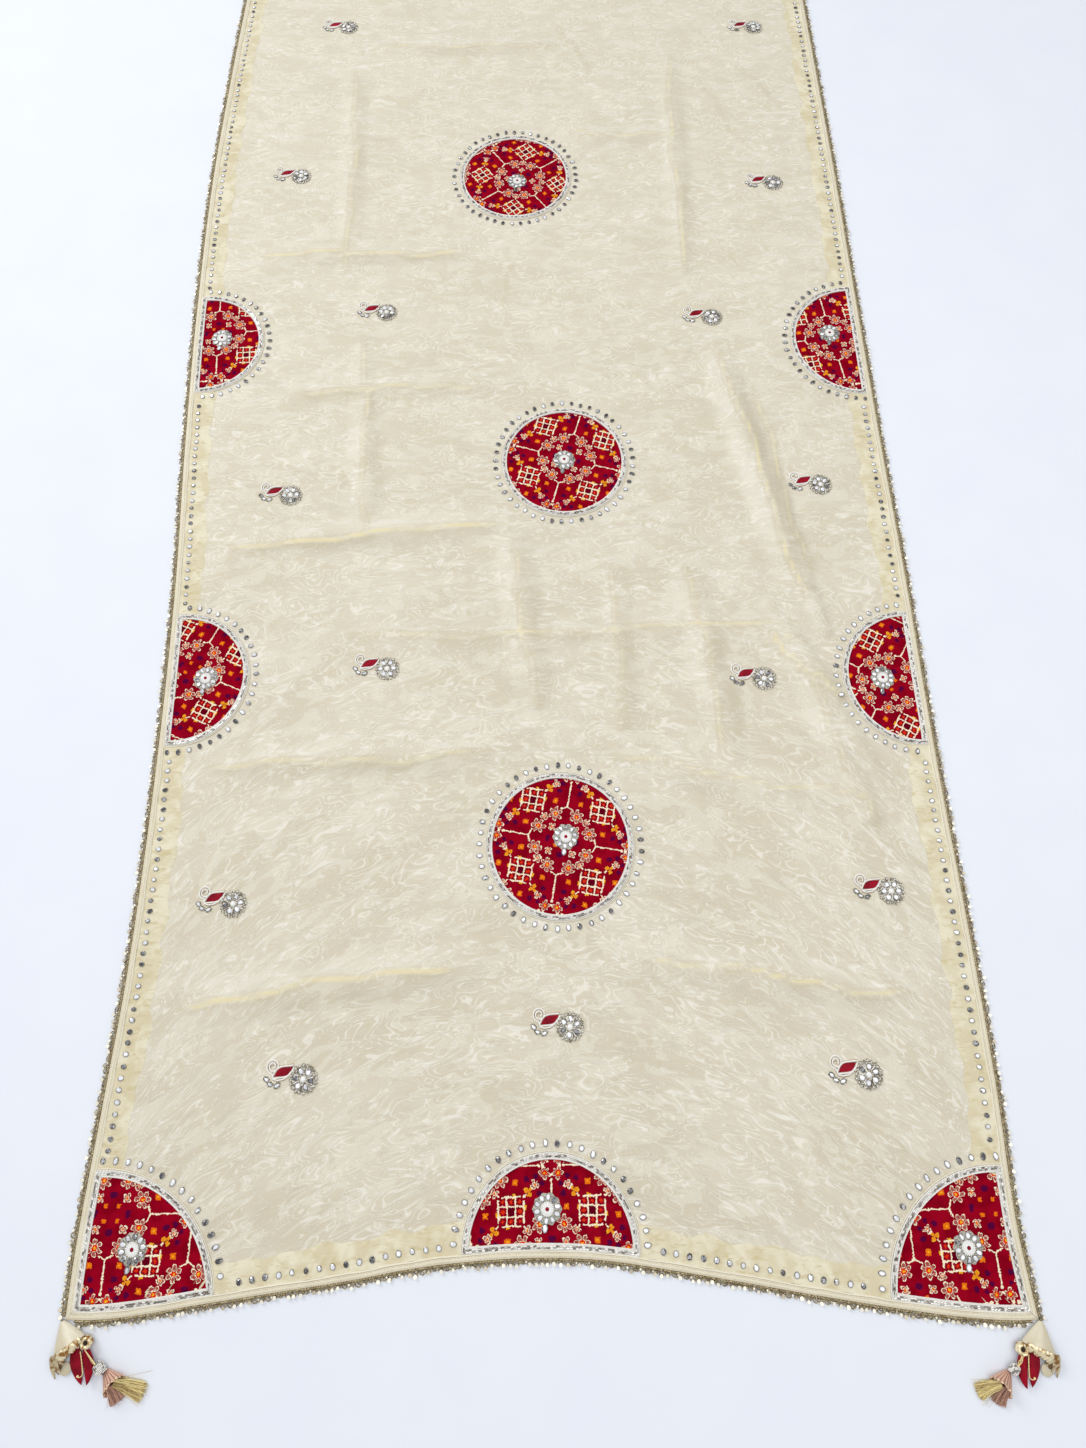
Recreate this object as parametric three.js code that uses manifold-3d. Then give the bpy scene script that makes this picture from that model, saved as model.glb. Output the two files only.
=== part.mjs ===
// A saree laid out flat with its face up. +X runs across the cloth, +Y along it from the worked show end
// (the pallu) to the plain end that is tucked in at the waist, and +Z is up from the table.
// The long cloth carries turned hem bands, a satin binding, a metal lace, cut and sewn print medallions,
// small flower motifs, and a tassel on each corner of the pallu. All sizes are in millimetres.
import * as THREE from "three";
import { mergeVertices } from "three/addons/utils/BufferGeometryUtils.js";
import Module from "manifold-3d";

const wasm = await Module();
wasm.setup();

// ---- Driving sizes ----
const CLOTH = { length: 5500, wall: 1.2, columns: 17 };
const SEAM_GAP = 0.3;
const BINDING = { width: 8, wall: 1.4 };
const HEM_BAND = { width: 32, wall: 0.8 };
const LACE = { width: 8, wall: 1.6 };
const APPLIQUE = { wall: 0.7, rimWidth: 7, rimWall: 1.8, sides: 32 };
const MOTIF = { wall: 1.6, flowerRadius: 18, flowerSides: 12, cordWidth: 2.4 };
const ROW_STEP = { worked: 60, plain: 290, workedUntil: 2340 };

// The cloth's two long edges, as they lie: x of each edge at a distance y from the pallu line.
const LONG_EDGES = [
  { y: -20, left: -562, right: 557.5 },
  { y: 85, left: -560.8, right: 551 },
  { y: 230, left: -552, right: 555.3 },
  { y: 400, left: -542.3, right: 555.6 },
  { y: 660, left: -540, right: 552 },
  { y: 930, left: -546, right: 553 },
  { y: 1180, left: -560, right: 551 },
  { y: 1450, left: -571, right: 551 },
  { y: 1750, left: -575, right: 552.3 },
  { y: 2050, left: -566, right: 550.5 },
  { y: 2300, left: -556, right: 549 },
  { y: 3100, left: -552, right: 552 },
  { y: 4300, left: -546, right: 556 },
  { y: 5520, left: -550, right: 550 },
];

// The pallu's edge, drawn up in the middle between its two corners.
const PALLU_EDGE = [
  { x: -570, y: 11 },
  { x: -530, y: 9.3 },
  { x: -480, y: 12.8 },
  { x: -410, y: 21.7 },
  { x: -320, y: 32.3 },
  { x: -230, y: 43 },
  { x: -180, y: 50.5 },
  { x: -130, y: 56 },
  { x: -60, y: 60 },
  { x: 0, y: 60.3 },
  { x: 60, y: 56.4 },
  { x: 125, y: 47.2 },
  { x: 220, y: 31.4 },
  { x: 310, y: 15.8 },
  { x: 400, y: 1.7 },
  { x: 470, y: -7.7 },
  { x: 530, y: -12.4 },
  { x: 570, y: -11 },
];
const PALLU_CURVE_FADES_AT = 420;

// Ridges of the worked stretch: storage creases across and along the cloth, and the soft folds beside them.
const RIDGES = [
  { fromX: -470, fromY: 345, toX: -60, toY: 396, height: 4.5, halfWidth: 48 },
  { fromX: 90, fromY: 398, toX: 470, toY: 340, height: 4.5, halfWidth: 48 },
  { fromX: -480, fromY: 662, toX: -60, toY: 672, height: 4, halfWidth: 46 },
  { fromX: 90, fromY: 668, toX: 430, toY: 590, height: 4, halfWidth: 46 },
  { fromX: -330, fromY: 850, toX: 400, toY: 862, height: 3.5, halfWidth: 46 },
  { fromX: -480, fromY: 1010, toX: -30, toY: 1040, height: 5, halfWidth: 48 },
  { fromX: -420, fromY: 1290, toX: -60, toY: 1295, height: 4, halfWidth: 46 },
  { fromX: -480, fromY: 1575, toX: -110, toY: 1578, height: 4.5, halfWidth: 46 },
  { fromX: 60, fromY: 1850, toX: 290, toY: 1845, height: 4, halfWidth: 46 },
  { fromX: -310, fromY: 2090, toX: 60, toY: 2085, height: 4, halfWidth: 46 },
  { fromX: -330, fromY: 2050, toX: -318, toY: 1520, height: 3.5, halfWidth: 44 },
  { fromX: -290, fromY: 1410, toX: -262, toY: 1010, height: 4, halfWidth: 44 },
  { fromX: 268, fromY: 2060, toX: 262, toY: 1520, height: 4, halfWidth: 44 },
  { fromX: -46, fromY: 1060, toX: -8, toY: 740, height: 6, halfWidth: 50 },
  { fromX: 113, fromY: 980, toX: 116, toY: 700, height: 4, halfWidth: 46 },
  { fromX: 222, fromY: 980, toX: 268, toY: 640, height: 6, halfWidth: 50 },
  { fromX: 300, fromY: 1360, toX: 400, toY: 880, height: 9, halfWidth: 54 },
  { fromX: 372, fromY: 820, toX: 452, toY: 560, height: 6, halfWidth: 48 },
];
// Storage creases of the plain stretch: one across the cloth at every fold of the stack it was kept in.
const STORAGE_FOLD = { height: 4, halfWidth: 100, reach: 430 };
const FLAT_MARGIN = { none: 66, full: 130 };

// Print medallions: centre, and the radius to the outside of the beaded rim. Those at an edge are cut off there.
const MEDALLIONS = [
  { name: "medallion_centre_1", x: 21, y: 543, radius: 102 },
  { name: "medallion_centre_2", x: 44, y: 1148, radius: 100 },
  { name: "medallion_centre_3", x: -28, y: 1750, radius: 101 },
  { name: "medallion_left_1", x: -524, y: 793, radius: 102 },
  { name: "medallion_left_2", x: -551, y: 1389, radius: 99 },
  { name: "medallion_right_1", x: 541, y: 775, radius: 104 },
  { name: "medallion_right_2", x: 541, y: 1376, radius: 111 },
  { name: "medallion_corner_left", x: -541, y: 15, radius: 147.5 },
  { name: "medallion_corner_right", x: 533, y: 4, radius: 142 },
  { name: "medallion_pallu", x: -2, y: 66, radius: 106 },
];

// Small motifs: the centre of each mirror flower. Its leaf and curl lie on its left.
const MOTIFS = [
  { name: "motif_left_1", x: -306, y: 258 },
  { name: "motif_left_2", x: -414, y: 473 },
  { name: "motif_left_3", x: -223, y: 802 },
  { name: "motif_left_4", x: -385, y: 1094 },
  { name: "motif_left_5", x: -249, y: 1448 },
  { name: "motif_left_6", x: -416, y: 1759 },
  { name: "motif_left_7", x: -351, y: 2147 },
  { name: "motif_right_1", x: 399, y: 249 },
  { name: "motif_right_2", x: 461, y: 472 },
  { name: "motif_right_3", x: 323, y: 776 },
  { name: "motif_right_4", x: 445, y: 1097 },
  { name: "motif_right_5", x: 302, y: 1427 },
  { name: "motif_right_6", x: 438, y: 1727 },
  { name: "motif_right_7", x: 443, y: 2132 },
  { name: "motif_middle", x: 28, y: 312 },
];

// Motif outline points, measured from the flower's centre.
const LEAF = { baseX: -39, baseY: -2, tipX: -13, tipY: 15, halfWidth: 3.6, steps: 4 };
const CURL = { x: -40, y: 10.5, radius: 7.4, turns: 0.9, steps: 7, startTurn: -0.25 };
const STEM = [
  { x: -36, y: -0.8 },
  { x: -28, y: -3.3 },
  { x: -21, y: -1 },
  { x: -14, y: 5 },
];

// Tassel sizes, measured inward (in) and outward (out) from the lace's outer corner. The cone is sewn to the
// cloth's own corner and lies over the place of the lace, which is cut back round it.
const TASSEL = {
  cone: {
    apexIn: 4.8,
    apexOut: -6.2,
    apexWidth: 2.4,
    mouthIn: 23.8,
    mouthOut: 23.2,
    halfWidth: 22.5,
    halfHeight: 9,
    wall: 1.2,
    sides: 16,
  },
  petals: [
    { baseIn: 25.3, baseOut: 16.7, tipIn: 36.4, tipOut: 54.5, halfWidth: 6.4, wall: 1.6, lift: 3 },
    { baseIn: 34.3, baseOut: 15.2, tipIn: 43.4, tipOut: 54.3, halfWidth: 5.7, wall: 1.6, lift: 6.2 },
  ],
  bead: { in: 56.3, out: 38.8, radius: 6.8, lift: 7, stemRadius: 0.9, stemLift: 10.3 },
  bell: {
    apexIn: 62,
    apexOut: 43.6,
    apexRadius: 2.5,
    mouthIn: 74.4,
    mouthOut: 54.2,
    mouthRadius: 13,
    flat: 0.6,
    sides: 12,
  },
  roseLocks: {
    count: 9,
    length: 19.5,
    spread: 0.36,
    root: 4.5,
    rootIn: 68.6,
    rootOut: 54,
    endIn: 78.6,
    endOut: 70.6,
    radius: 0.9,
  },
  goldNeck: { in: 83, out: 54.2, radius: 3.2, length: 5, lift: 5 },
  goldLocks: {
    count: 13,
    spread: 0.46,
    root: 2.6,
    rootIn: 83,
    rootOut: 54.2,
    endIn: 109,
    endOut: 62.5,
    radius: 0.8,
  },
};

// How each part of a tassel lies: its turn about the cone's tip in degrees, and its shift inward and outward.
const SWUNG = {
  left: {
    cone: { turn: 0, in: 0, out: 0 },
    petal: { turn: 0, in: 0, out: 0 },
    drop: { turn: 0, in: 0, out: 0 },
  },
  right: {
    cone: { turn: 10, in: 0, out: 0 },
    petal: { turn: 6.5, in: -1.4, out: -1.5 },
    drop: { turn: 0, in: -10.2, out: -1 },
  },
};
// The drop hangs on a stem of thread from inside the cone's mouth, and ends in gold locks of its own length.
const DROP = {
  left: { stemIn: 34.5, stemOut: 16.5, goldLength: 26.5 },
  right: { stemIn: 43.2, stemOut: 19.5, goldLength: 20.5 },
};

const COLOUR = {
  tissue: { color: 0xe0d8c2, roughness: 0.5, metalness: 0.05 },
  hem: { color: 0xe3d6b2, roughness: 0.55, metalness: 0.03 },
  satin: { color: 0xe6dcc2, roughness: 0.35, metalness: 0.03 },
  lace: { color: 0x9a8660, roughness: 0.35, metalness: 0.7 },
  print: { color: 0xa5101f, roughness: 0.75, metalness: 0 },
  mirrorwork: { color: 0xd8d8d4, roughness: 0.25, metalness: 0.6 },
  redSilk: { color: 0xa00e22, roughness: 0.5, metalness: 0 },
  silverBead: { color: 0xd8d2c4, roughness: 0.3, metalness: 0.6 },
  roseThread: { color: 0xb98772, roughness: 0.6, metalness: 0 },
  goldThread: { color: 0xcbb06a, roughness: 0.55, metalness: 0.1 },
};

const saree = new THREE.Group();

// Adds one named piece with its own material.
function addPiece(name, geometry, finish) {
  geometry.computeVertexNormals();
  const mesh = new THREE.Mesh(geometry, new THREE.MeshStandardMaterial(finish));
  mesh.name = name;
  saree.add(mesh);
}

// ---- Solids to and from the boolean library ----
function toSolid(geometry) {
  const bare = geometry.clone();
  bare.deleteAttribute("normal");
  bare.deleteAttribute("uv");
  const merged = mergeVertices(bare, 1e-4);
  const mesh = new wasm.Mesh({
    numProp: 3,
    vertProperties: merged.attributes.position.array,
    triVerts: new Uint32Array(merged.index.array),
  });
  return new wasm.Manifold(mesh);
}

function toGeometry(solid) {
  const mesh = solid.getMesh();
  const geometry = new THREE.BufferGeometry();
  geometry.setAttribute("position", new THREE.BufferAttribute(new Float32Array(mesh.vertProperties), 3));
  geometry.setIndex(new THREE.BufferAttribute(new Uint32Array(mesh.triVerts), 1));
  return geometry;
}

// An upright solid over a flat outline, from one height to another.
function prism(points, low, high) {
  const outline = new THREE.Shape(points.map(([x, y]) => new THREE.Vector2(x, y)));
  const geometry = new THREE.ExtrudeGeometry(outline, { depth: high - low, bevelEnabled: false });
  geometry.translate(0, 0, low);
  return toSolid(geometry);
}

const ABOVE_ALL = 60;
const BELOW_ALL = -5;
const fullPrism = (points) => prism(points, BELOW_ALL, ABOVE_ALL);

function ovalPoints(x, y, radius, sides) {
  const points = [];
  for (let k = 0; k < sides; k += 1) {
    const angle = (2 * Math.PI * k) / sides;
    points.push([x + radius * Math.cos(angle), y + radius * Math.sin(angle)]);
  }
  return points;
}

// ---- The cloth's lie ----
// A smooth curve through a table's rows: value of one column at a place along another.
function alongTable(table, at, value, place) {
  let k = 0;
  while (k < table.length - 2 && place > table[k + 1][at]) k += 1;
  const slopeAt = (n) => {
    const before = table[Math.max(n - 1, 0)];
    const after = table[Math.min(n + 1, table.length - 1)];
    return (after[value] - before[value]) / (after[at] - before[at]);
  };
  const span = table[k + 1][at] - table[k][at];
  const t = THREE.MathUtils.clamp((place - table[k][at]) / span, 0, 1);
  const start = (1 + 2 * t) * (1 - t) ** 2 * table[k][value] + t * (1 - t) ** 2 * span * slopeAt(k);
  const end = t * t * (3 - 2 * t) * table[k + 1][value] + t * t * (t - 1) * span * slopeAt(k + 1);
  return start + end;
}

const leftEdge = (y) => alongTable(LONG_EDGES, "y", "left", y);
const rightEdge = (y) => alongTable(LONG_EDGES, "y", "right", y);
const palluEdge = (x) => alongTable(PALLU_EDGE, "x", "y", x);

// Height of one ridge over a place: a soft crest that dies away to both ends.
function ridgeHeight(ridge, x, y) {
  const alongX = ridge.toX - ridge.fromX;
  const alongY = ridge.toY - ridge.fromY;
  const length = Math.hypot(alongX, alongY);
  const along = ((x - ridge.fromX) * alongX + (y - ridge.fromY) * alongY) / length;
  const aside = Math.abs((x - ridge.fromX) * alongY - (y - ridge.fromY) * alongX) / length;
  if (aside >= ridge.halfWidth || along <= 0 || along >= length) return 0;
  const across = Math.cos((Math.PI * aside) / (2 * ridge.halfWidth)) ** 2;
  const ends = Math.sin((Math.PI * along) / length) ** 0.5;
  return ridge.height * across * ends;
}

const rowPlaces = [];
for (let y = 0; y < ROW_STEP.workedUntil; y += ROW_STEP.worked) rowPlaces.push(y);
const plainRows = Math.round((CLOTH.length - ROW_STEP.workedUntil) / ROW_STEP.plain);
for (let k = 0; k <= plainRows; k += 1) {
  rowPlaces.push(ROW_STEP.workedUntil + ((CLOTH.length - ROW_STEP.workedUntil) * k) / plainRows);
}

const storageFolds = [];
for (let fold = 1; fold <= plainRows - 1; fold += 2) {
  const y = rowPlaces.at(fold - plainRows - 1);
  const tilt = 14 * Math.sin(y);
  storageFolds.push({
    fromX: -STORAGE_FOLD.reach,
    fromY: y - tilt,
    toX: STORAGE_FOLD.reach,
    toY: y + tilt,
    height: STORAGE_FOLD.height,
    halfWidth: STORAGE_FOLD.halfWidth,
  });
}

// Height of the cloth's underside over the table. The edges and the far end lie flat.
function relief(x, y) {
  const fromEdge = Math.min(x - leftEdge(y), rightEdge(y) - x, y - palluEdge(x), CLOTH.length - y);
  const flatness = THREE.MathUtils.smoothstep(fromEdge, FLAT_MARGIN.none, FLAT_MARGIN.full);
  if (flatness === 0) return 0;
  let highest = 0;
  for (const ridge of [...RIDGES, ...storageFolds]) {
    highest = Math.max(highest, ridgeHeight(ridge, x, y));
  }
  return highest * flatness;
}

// The cloth's points: rows follow the pallu's curve near it and run straight across further on.
const clothPoints = rowPlaces.map((place) => {
  const row = [];
  for (let column = 0; column <= CLOTH.columns; column += 1) {
    const x = THREE.MathUtils.lerp(leftEdge(place), rightEdge(place), column / CLOTH.columns);
    const bend = Math.max(0, 1 - place / PALLU_CURVE_FADES_AT) ** 2;
    const y = place + palluEdge(x) * bend;
    row.push({ x, y, z: relief(x, y) });
  }
  return row;
});

// A closed layer over a block of the cloth's cells, between two heights above its underside.
function layer(cells, low, high) {
  const wide = cells.lastColumn - cells.firstColumn + 1;
  const deep = cells.lastRow - cells.firstRow + 1;
  const positions = [];
  for (const lift of [low, high]) {
    for (let row = cells.firstRow; row <= cells.lastRow; row += 1) {
      for (let column = cells.firstColumn; column <= cells.lastColumn; column += 1) {
        const point = clothPoints[row][column];
        positions.push(point.x, point.y, point.z + lift);
      }
    }
  }
  const at = (side, row, column) => side * wide * deep + row * wide + column;
  const index = [];
  const quad = (a, b, c, d) => index.push(a, b, c, a, c, d);
  for (let row = 0; row < deep - 1; row += 1) {
    for (let column = 0; column < wide - 1; column += 1) {
      quad(at(1, row, column), at(1, row, column + 1), at(1, row + 1, column + 1), at(1, row + 1, column));
      index.push(at(0, row, column), at(0, row + 1, column + 1), at(0, row, column + 1));
      index.push(at(0, row, column), at(0, row + 1, column), at(0, row + 1, column + 1));
    }
  }
  for (let column = 0; column < wide - 1; column += 1) {
    quad(at(0, 0, column), at(0, 0, column + 1), at(1, 0, column + 1), at(1, 0, column));
    const end = deep - 1;
    quad(at(0, end, column + 1), at(0, end, column), at(1, end, column), at(1, end, column + 1));
  }
  for (let row = 0; row < deep - 1; row += 1) {
    quad(at(0, row + 1, 0), at(0, row, 0), at(1, row, 0), at(1, row + 1, 0));
    quad(at(0, row, wide - 1), at(0, row + 1, wide - 1), at(1, row + 1, wide - 1), at(1, row, wide - 1));
  }
  const geometry = new THREE.BufferGeometry();
  geometry.setAttribute("position", new THREE.Float32BufferAttribute(positions, 3));
  geometry.setIndex(index);
  return geometry;
}

const wholeCloth = {
  firstRow: 0,
  lastRow: rowPlaces.length - 1,
  firstColumn: 0,
  lastColumn: CLOTH.columns,
};

// The block of cells that a footprint stands on, with a cell to spare on each side.
function cellsUnder(footprint) {
  const box = footprint.boundingBox();
  const rows = clothPoints.map((row, n) => {
    const heights = row.map((p) => p.y);
    return { n, low: Math.min(...heights), high: Math.max(...heights) };
  });
  const below = rows.filter((row) => row.high < box.min[1]).map((row) => row.n);
  const above = rows.filter((row) => row.low > box.max[1]).map((row) => row.n);
  const middle = clothPoints[below.length ? Math.max(...below) : 0];
  const left = middle.filter((p) => p.x < box.min[0] - 40).length;
  const right = middle.filter((p) => p.x < box.max[0] + 40).length;
  return {
    firstRow: Math.max(0, ...below),
    lastRow: Math.min(rowPlaces.length - 1, ...above),
    firstColumn: Math.max(0, left - 1),
    lastColumn: Math.min(CLOTH.columns, right),
  };
}

// A piece sewn on the face: the cloth's own points, moved out, cut to the footprint.
function laidOn(footprint, low, high) {
  const moved = layer(cellsUnder(footprint), CLOTH.wall + low, CLOTH.wall + high);
  return toSolid(moved).intersect(footprint);
}

// ---- Borders ----
// The area of the cloth further in than an inset from its long edges and its pallu edge.
function insideEdges(inset) {
  const past = 30;
  const first = clothPoints[0][0];
  const last = clothPoints[0][CLOTH.columns];
  const points = clothPoints[0].map((point, column) => [
    THREE.MathUtils.lerp(first.x + inset, last.x - inset, column / CLOTH.columns),
    point.y + inset,
  ]);
  const onRight = clothPoints.map((row) => row[CLOTH.columns]).filter((point) => point.y > last.y + inset + 8);
  const onLeft = clothPoints.map((row) => row[0]).filter((point) => point.y > first.y + inset + 8);
  for (const point of onRight) points.push([point.x - inset, point.y]);
  points.push([onRight.at(-1).x - inset, CLOTH.length + past]);
  points.push([onLeft.at(-1).x + inset, CLOTH.length + past]);
  for (const point of onLeft.toReversed()) points.push([point.x + inset, point.y]);
  return points;
}

// The part of a border that belongs to the pallu: everything below the mitres at its two corners.
function palluWedge(shrink) {
  const reach = 300;
  const left = leftEdge(0) + shrink;
  const right = rightEdge(0) - shrink;
  const leftY = palluEdge(left) - shrink;
  const rightY = palluEdge(right) - shrink;
  const low = -120;
  return fullPrism([
    [left - (leftY - low), low],
    [right + (rightY - low), low],
    [right, rightY],
    [right - reach, rightY + reach],
    [left + reach, leftY + reach],
    [left, leftY],
  ]);
}

const beforeFarEnd = fullPrism([
  [-900, -300],
  [900, -300],
  [900, CLOTH.length],
  [-900, CLOTH.length],
]);

// Splits a border that runs along three sides into its left, right and pallu lengths. Numbered borders are in
// several lengths on each side, between the pieces that cut them.
function addBorder(name, outerInset, innerInset, low, high, finish, cutters, numbered) {
  const area = prism(insideEdges(outerInset), low, high);
  let border = area.subtract(fullPrism(insideEdges(innerInset))).intersect(beforeFarEnd);
  for (const cutter of cutters) border = border.subtract(cutter);
  const onPallu = border.intersect(palluWedge(SEAM_GAP));
  const onSides = border.subtract(palluWedge(0));
  for (const [side, solid] of [["pallu", onPallu], ["side", onSides]]) {
    const lengths = solid.decompose().filter((length) => length.volume() > 1);
    const counts = { left: 0, right: 0, pallu: 0 };
    const middle = (length) => {
      const box = length.boundingBox();
      return [(box.min[0] + box.max[0]) / 2, (box.min[1] + box.max[1]) / 2];
    };
    lengths.sort((a, b) => middle(a)[1] - middle(b)[1] || middle(a)[0] - middle(b)[0]);
    for (const length of lengths) {
      const place = side === "pallu" ? "pallu" : middle(length)[0] < 0 ? "left" : "right";
      counts[place] += 1;
      const number = numbered ? "_" + counts[place] : "";
      addPiece(name + "_" + place + number, toGeometry(length), finish);
    }
  }
}

// ---- The pieces ----
const clothTop = CLOTH.wall;
const onFace = clothTop + SEAM_GAP;

function addCloth() {
  addPiece("cloth", layer(wholeCloth, 0, CLOTH.wall), COLOUR.tissue);
}

const rimFootprint = (medallion, grow) =>
  fullPrism(ovalPoints(medallion.x, medallion.y, medallion.radius + grow, APPLIQUE.sides));

function addBorders() {
  const cones = [coneFootprint("left"), coneFootprint("right")];
  addBorder("lace", -LACE.width, -SEAM_GAP, 0, LACE.wall, COLOUR.lace, cones, false);
  addBorder("binding", 0, BINDING.width, onFace, onFace + BINDING.wall, COLOUR.satin, [], false);
  const hemStart = BINDING.width + SEAM_GAP;
  const atEdge = MEDALLIONS.filter((medallion) => !medallion.name.includes("centre"));
  const cutters = atEdge.map((medallion) => rimFootprint(medallion, SEAM_GAP));
  addBorder("hem", hemStart, hemStart + HEM_BAND.width, onFace, onFace + HEM_BAND.wall, COLOUR.hem, cutters, true);
}

// Each medallion is a disc of print with a beaded rim; at an edge, the binding cuts it off.
function addMedallions() {
  const inside = fullPrism(insideEdges(BINDING.width + SEAM_GAP));
  const insideRim = fullPrism(insideEdges(BINDING.width + SEAM_GAP + APPLIQUE.rimWidth));
  for (const medallion of MEDALLIONS) {
    const whole = rimFootprint(medallion, 0).intersect(inside);
    const print = rimFootprint(medallion, -APPLIQUE.rimWidth).intersect(insideRim);
    const disc = laidOn(whole, SEAM_GAP, SEAM_GAP + APPLIQUE.rimWall);
    const above = laidOn(print, SEAM_GAP + APPLIQUE.wall, SEAM_GAP + APPLIQUE.rimWall + 1);
    addPiece(medallion.name, toGeometry(disc.subtract(above)), COLOUR.print);
  }
}

// A flat cord of one width along a line of points.
function cordPoints(line, width) {
  const sides = { left: [], right: [] };
  line.forEach(([x, y], n) => {
    const before = line[Math.max(n - 1, 0)];
    const after = line[Math.min(n + 1, line.length - 1)];
    const length = Math.hypot(after[0] - before[0], after[1] - before[1]);
    const normal = [-(after[1] - before[1]) / length, (after[0] - before[0]) / length];
    sides.left.push([x + (normal[0] * width) / 2, y + (normal[1] * width) / 2]);
    sides.right.push([x - (normal[0] * width) / 2, y - (normal[1] * width) / 2]);
  });
  return [...sides.right, ...sides.left.toReversed()];
}

// An almond outline between two points, widest in the middle.
function almondPoints(base, tip, halfWidth, steps) {
  const along = [tip[0] - base[0], tip[1] - base[1]];
  const length = Math.hypot(...along);
  const normal = [-along[1] / length, along[0] / length];
  const edge = (side) => {
    const points = [];
    for (let k = 0; k < steps; k += 1) {
      const t = k / steps;
      const out = side * halfWidth * Math.sin(Math.PI * t);
      points.push([base[0] + along[0] * t + normal[0] * out, base[1] + along[1] * t + normal[1] * out]);
    }
    return points;
  };
  return [...edge(-1), tip, ...edge(1).slice(1).toReversed()];
}

// Each motif is one piece of raised work: mirror flower, silk leaf, and the cord that curls from under them.
function addMotifs() {
  const curl = [];
  for (let k = 0; k <= CURL.steps; k += 1) {
    const share = k / CURL.steps;
    const angle = 2 * Math.PI * (CURL.startTurn + CURL.turns * share);
    const radius = CURL.radius * (0.45 + 0.55 * share);
    curl.push([CURL.x + radius * Math.cos(angle), CURL.y + radius * Math.sin(angle)]);
  }
  const stem = [...curl, ...STEM.map(({ x, y }) => [x, y])];
  for (const motif of MOTIFS) {
    const moved = (points) => fullPrism(points.map(([x, y]) => [motif.x + x, motif.y + y]));
    const flower = moved(ovalPoints(0, 0, MOTIF.flowerRadius, MOTIF.flowerSides));
    const leaf = moved(almondPoints([LEAF.baseX, LEAF.baseY], [LEAF.tipX, LEAF.tipY], LEAF.halfWidth, LEAF.steps));
    const cord = moved(cordPoints(stem, MOTIF.cordWidth));
    const footprint = flower.add(leaf).add(cord);
    const raised = laidOn(footprint, SEAM_GAP, SEAM_GAP + MOTIF.wall);
    addPiece(motif.name, toGeometry(raised), COLOUR.mirrorwork);
  }
}

// ---- Tassels ----
// Joins rings of points, each with as many points, into one closed body.
function loft(rings) {
  const sides = rings[0].length;
  const positions = rings.flat().flatMap((p) => [p.x, p.y, p.z]);
  const index = [];
  for (let ring = 0; ring < rings.length - 1; ring += 1) {
    for (let k = 0; k < sides; k += 1) {
      const a = ring * sides + k;
      const b = ring * sides + ((k + 1) % sides);
      index.push(a, b, b + sides, a, b + sides, a + sides);
    }
  }
  const last = (rings.length - 1) * sides;
  for (let k = 1; k < sides - 1; k += 1) {
    index.push(0, k + 1, k);
    index.push(last, last + k, last + k + 1);
  }
  const geometry = new THREE.BufferGeometry();
  geometry.setAttribute("position", new THREE.Float32BufferAttribute(positions, 3));
  geometry.setIndex(index);
  return geometry;
}

// An upright oval ring square to a level direction: half its width lies level and half its height stands up.
function ovalRing(centre, direction, halfWidth, halfHeight, sides) {
  const level = new THREE.Vector3(-direction.y, direction.x, 0).normalize();
  const up = new THREE.Vector3(0, 0, 1);
  const ring = [];
  for (let k = 0; k < sides; k += 1) {
    const angle = (2 * Math.PI * k) / sides;
    ring.push(
      centre
        .clone()
        .addScaledVector(level, halfWidth * Math.cos(angle))
        .addScaledVector(up, halfHeight * Math.sin(angle)),
    );
  }
  return ring;
}

// A tassel's own places run inward along +X and outward along -Y from the corner that it hangs on.
const place = (inward, outward, height) => new THREE.Vector3(inward, -outward, height);

function coneGeometry() {
  const cone = TASSEL.cone;
  const apex = place(cone.apexIn, cone.apexOut, 0);
  const mouth = place(cone.mouthIn, cone.mouthOut, 0);
  const direction = mouth.clone().sub(apex);
  const station = (share, thinner) => {
    const halfWidth = THREE.MathUtils.lerp(cone.apexWidth, cone.halfWidth, share) - thinner;
    const halfHeight = THREE.MathUtils.lerp(2.2, cone.halfHeight, share) - thinner;
    const centre = apex.clone().lerp(mouth, share).setZ(halfHeight + thinner + SEAM_GAP / 2);
    return ovalRing(centre, direction, halfWidth, halfHeight, cone.sides);
  };
  const outer = [0, 0.35, 0.7, 1].map((share) => station(share, 0));
  const inner = [1, 0.6, 0.25].map((share) => station(share, cone.wall));
  return loft([...outer, ...inner]);
}

function petalGeometry(petal) {
  const length = Math.hypot(petal.tipIn - petal.baseIn, petal.tipOut - petal.baseOut);
  const outline = almondPoints([0, 0], [length, 0], petal.halfWidth, 8);
  const shape = new THREE.Shape(outline.map(([x, y]) => new THREE.Vector2(x, y)));
  const geometry = new THREE.ExtrudeGeometry(shape, { depth: petal.wall, bevelEnabled: false });
  geometry.rotateZ(Math.atan2(-(petal.tipOut - petal.baseOut), petal.tipIn - petal.baseIn));
  geometry.translate(petal.baseIn, -petal.baseOut, petal.lift);
  return toGeometry(toSolid(geometry));
}

// A straight rod with a few sides between two points.
function rod(from, to, radius, sides) {
  const direction = to.clone().sub(from);
  const geometry = new THREE.CylinderGeometry(radius, radius, direction.length(), sides);
  geometry.applyQuaternion(
    new THREE.Quaternion().setFromUnitVectors(new THREE.Vector3(0, 1, 0), direction.clone().normalize()),
  );
  const middle = from.clone().lerp(to, 0.5);
  return toSolid(geometry.translate(middle.x, middle.y, middle.z));
}

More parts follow.
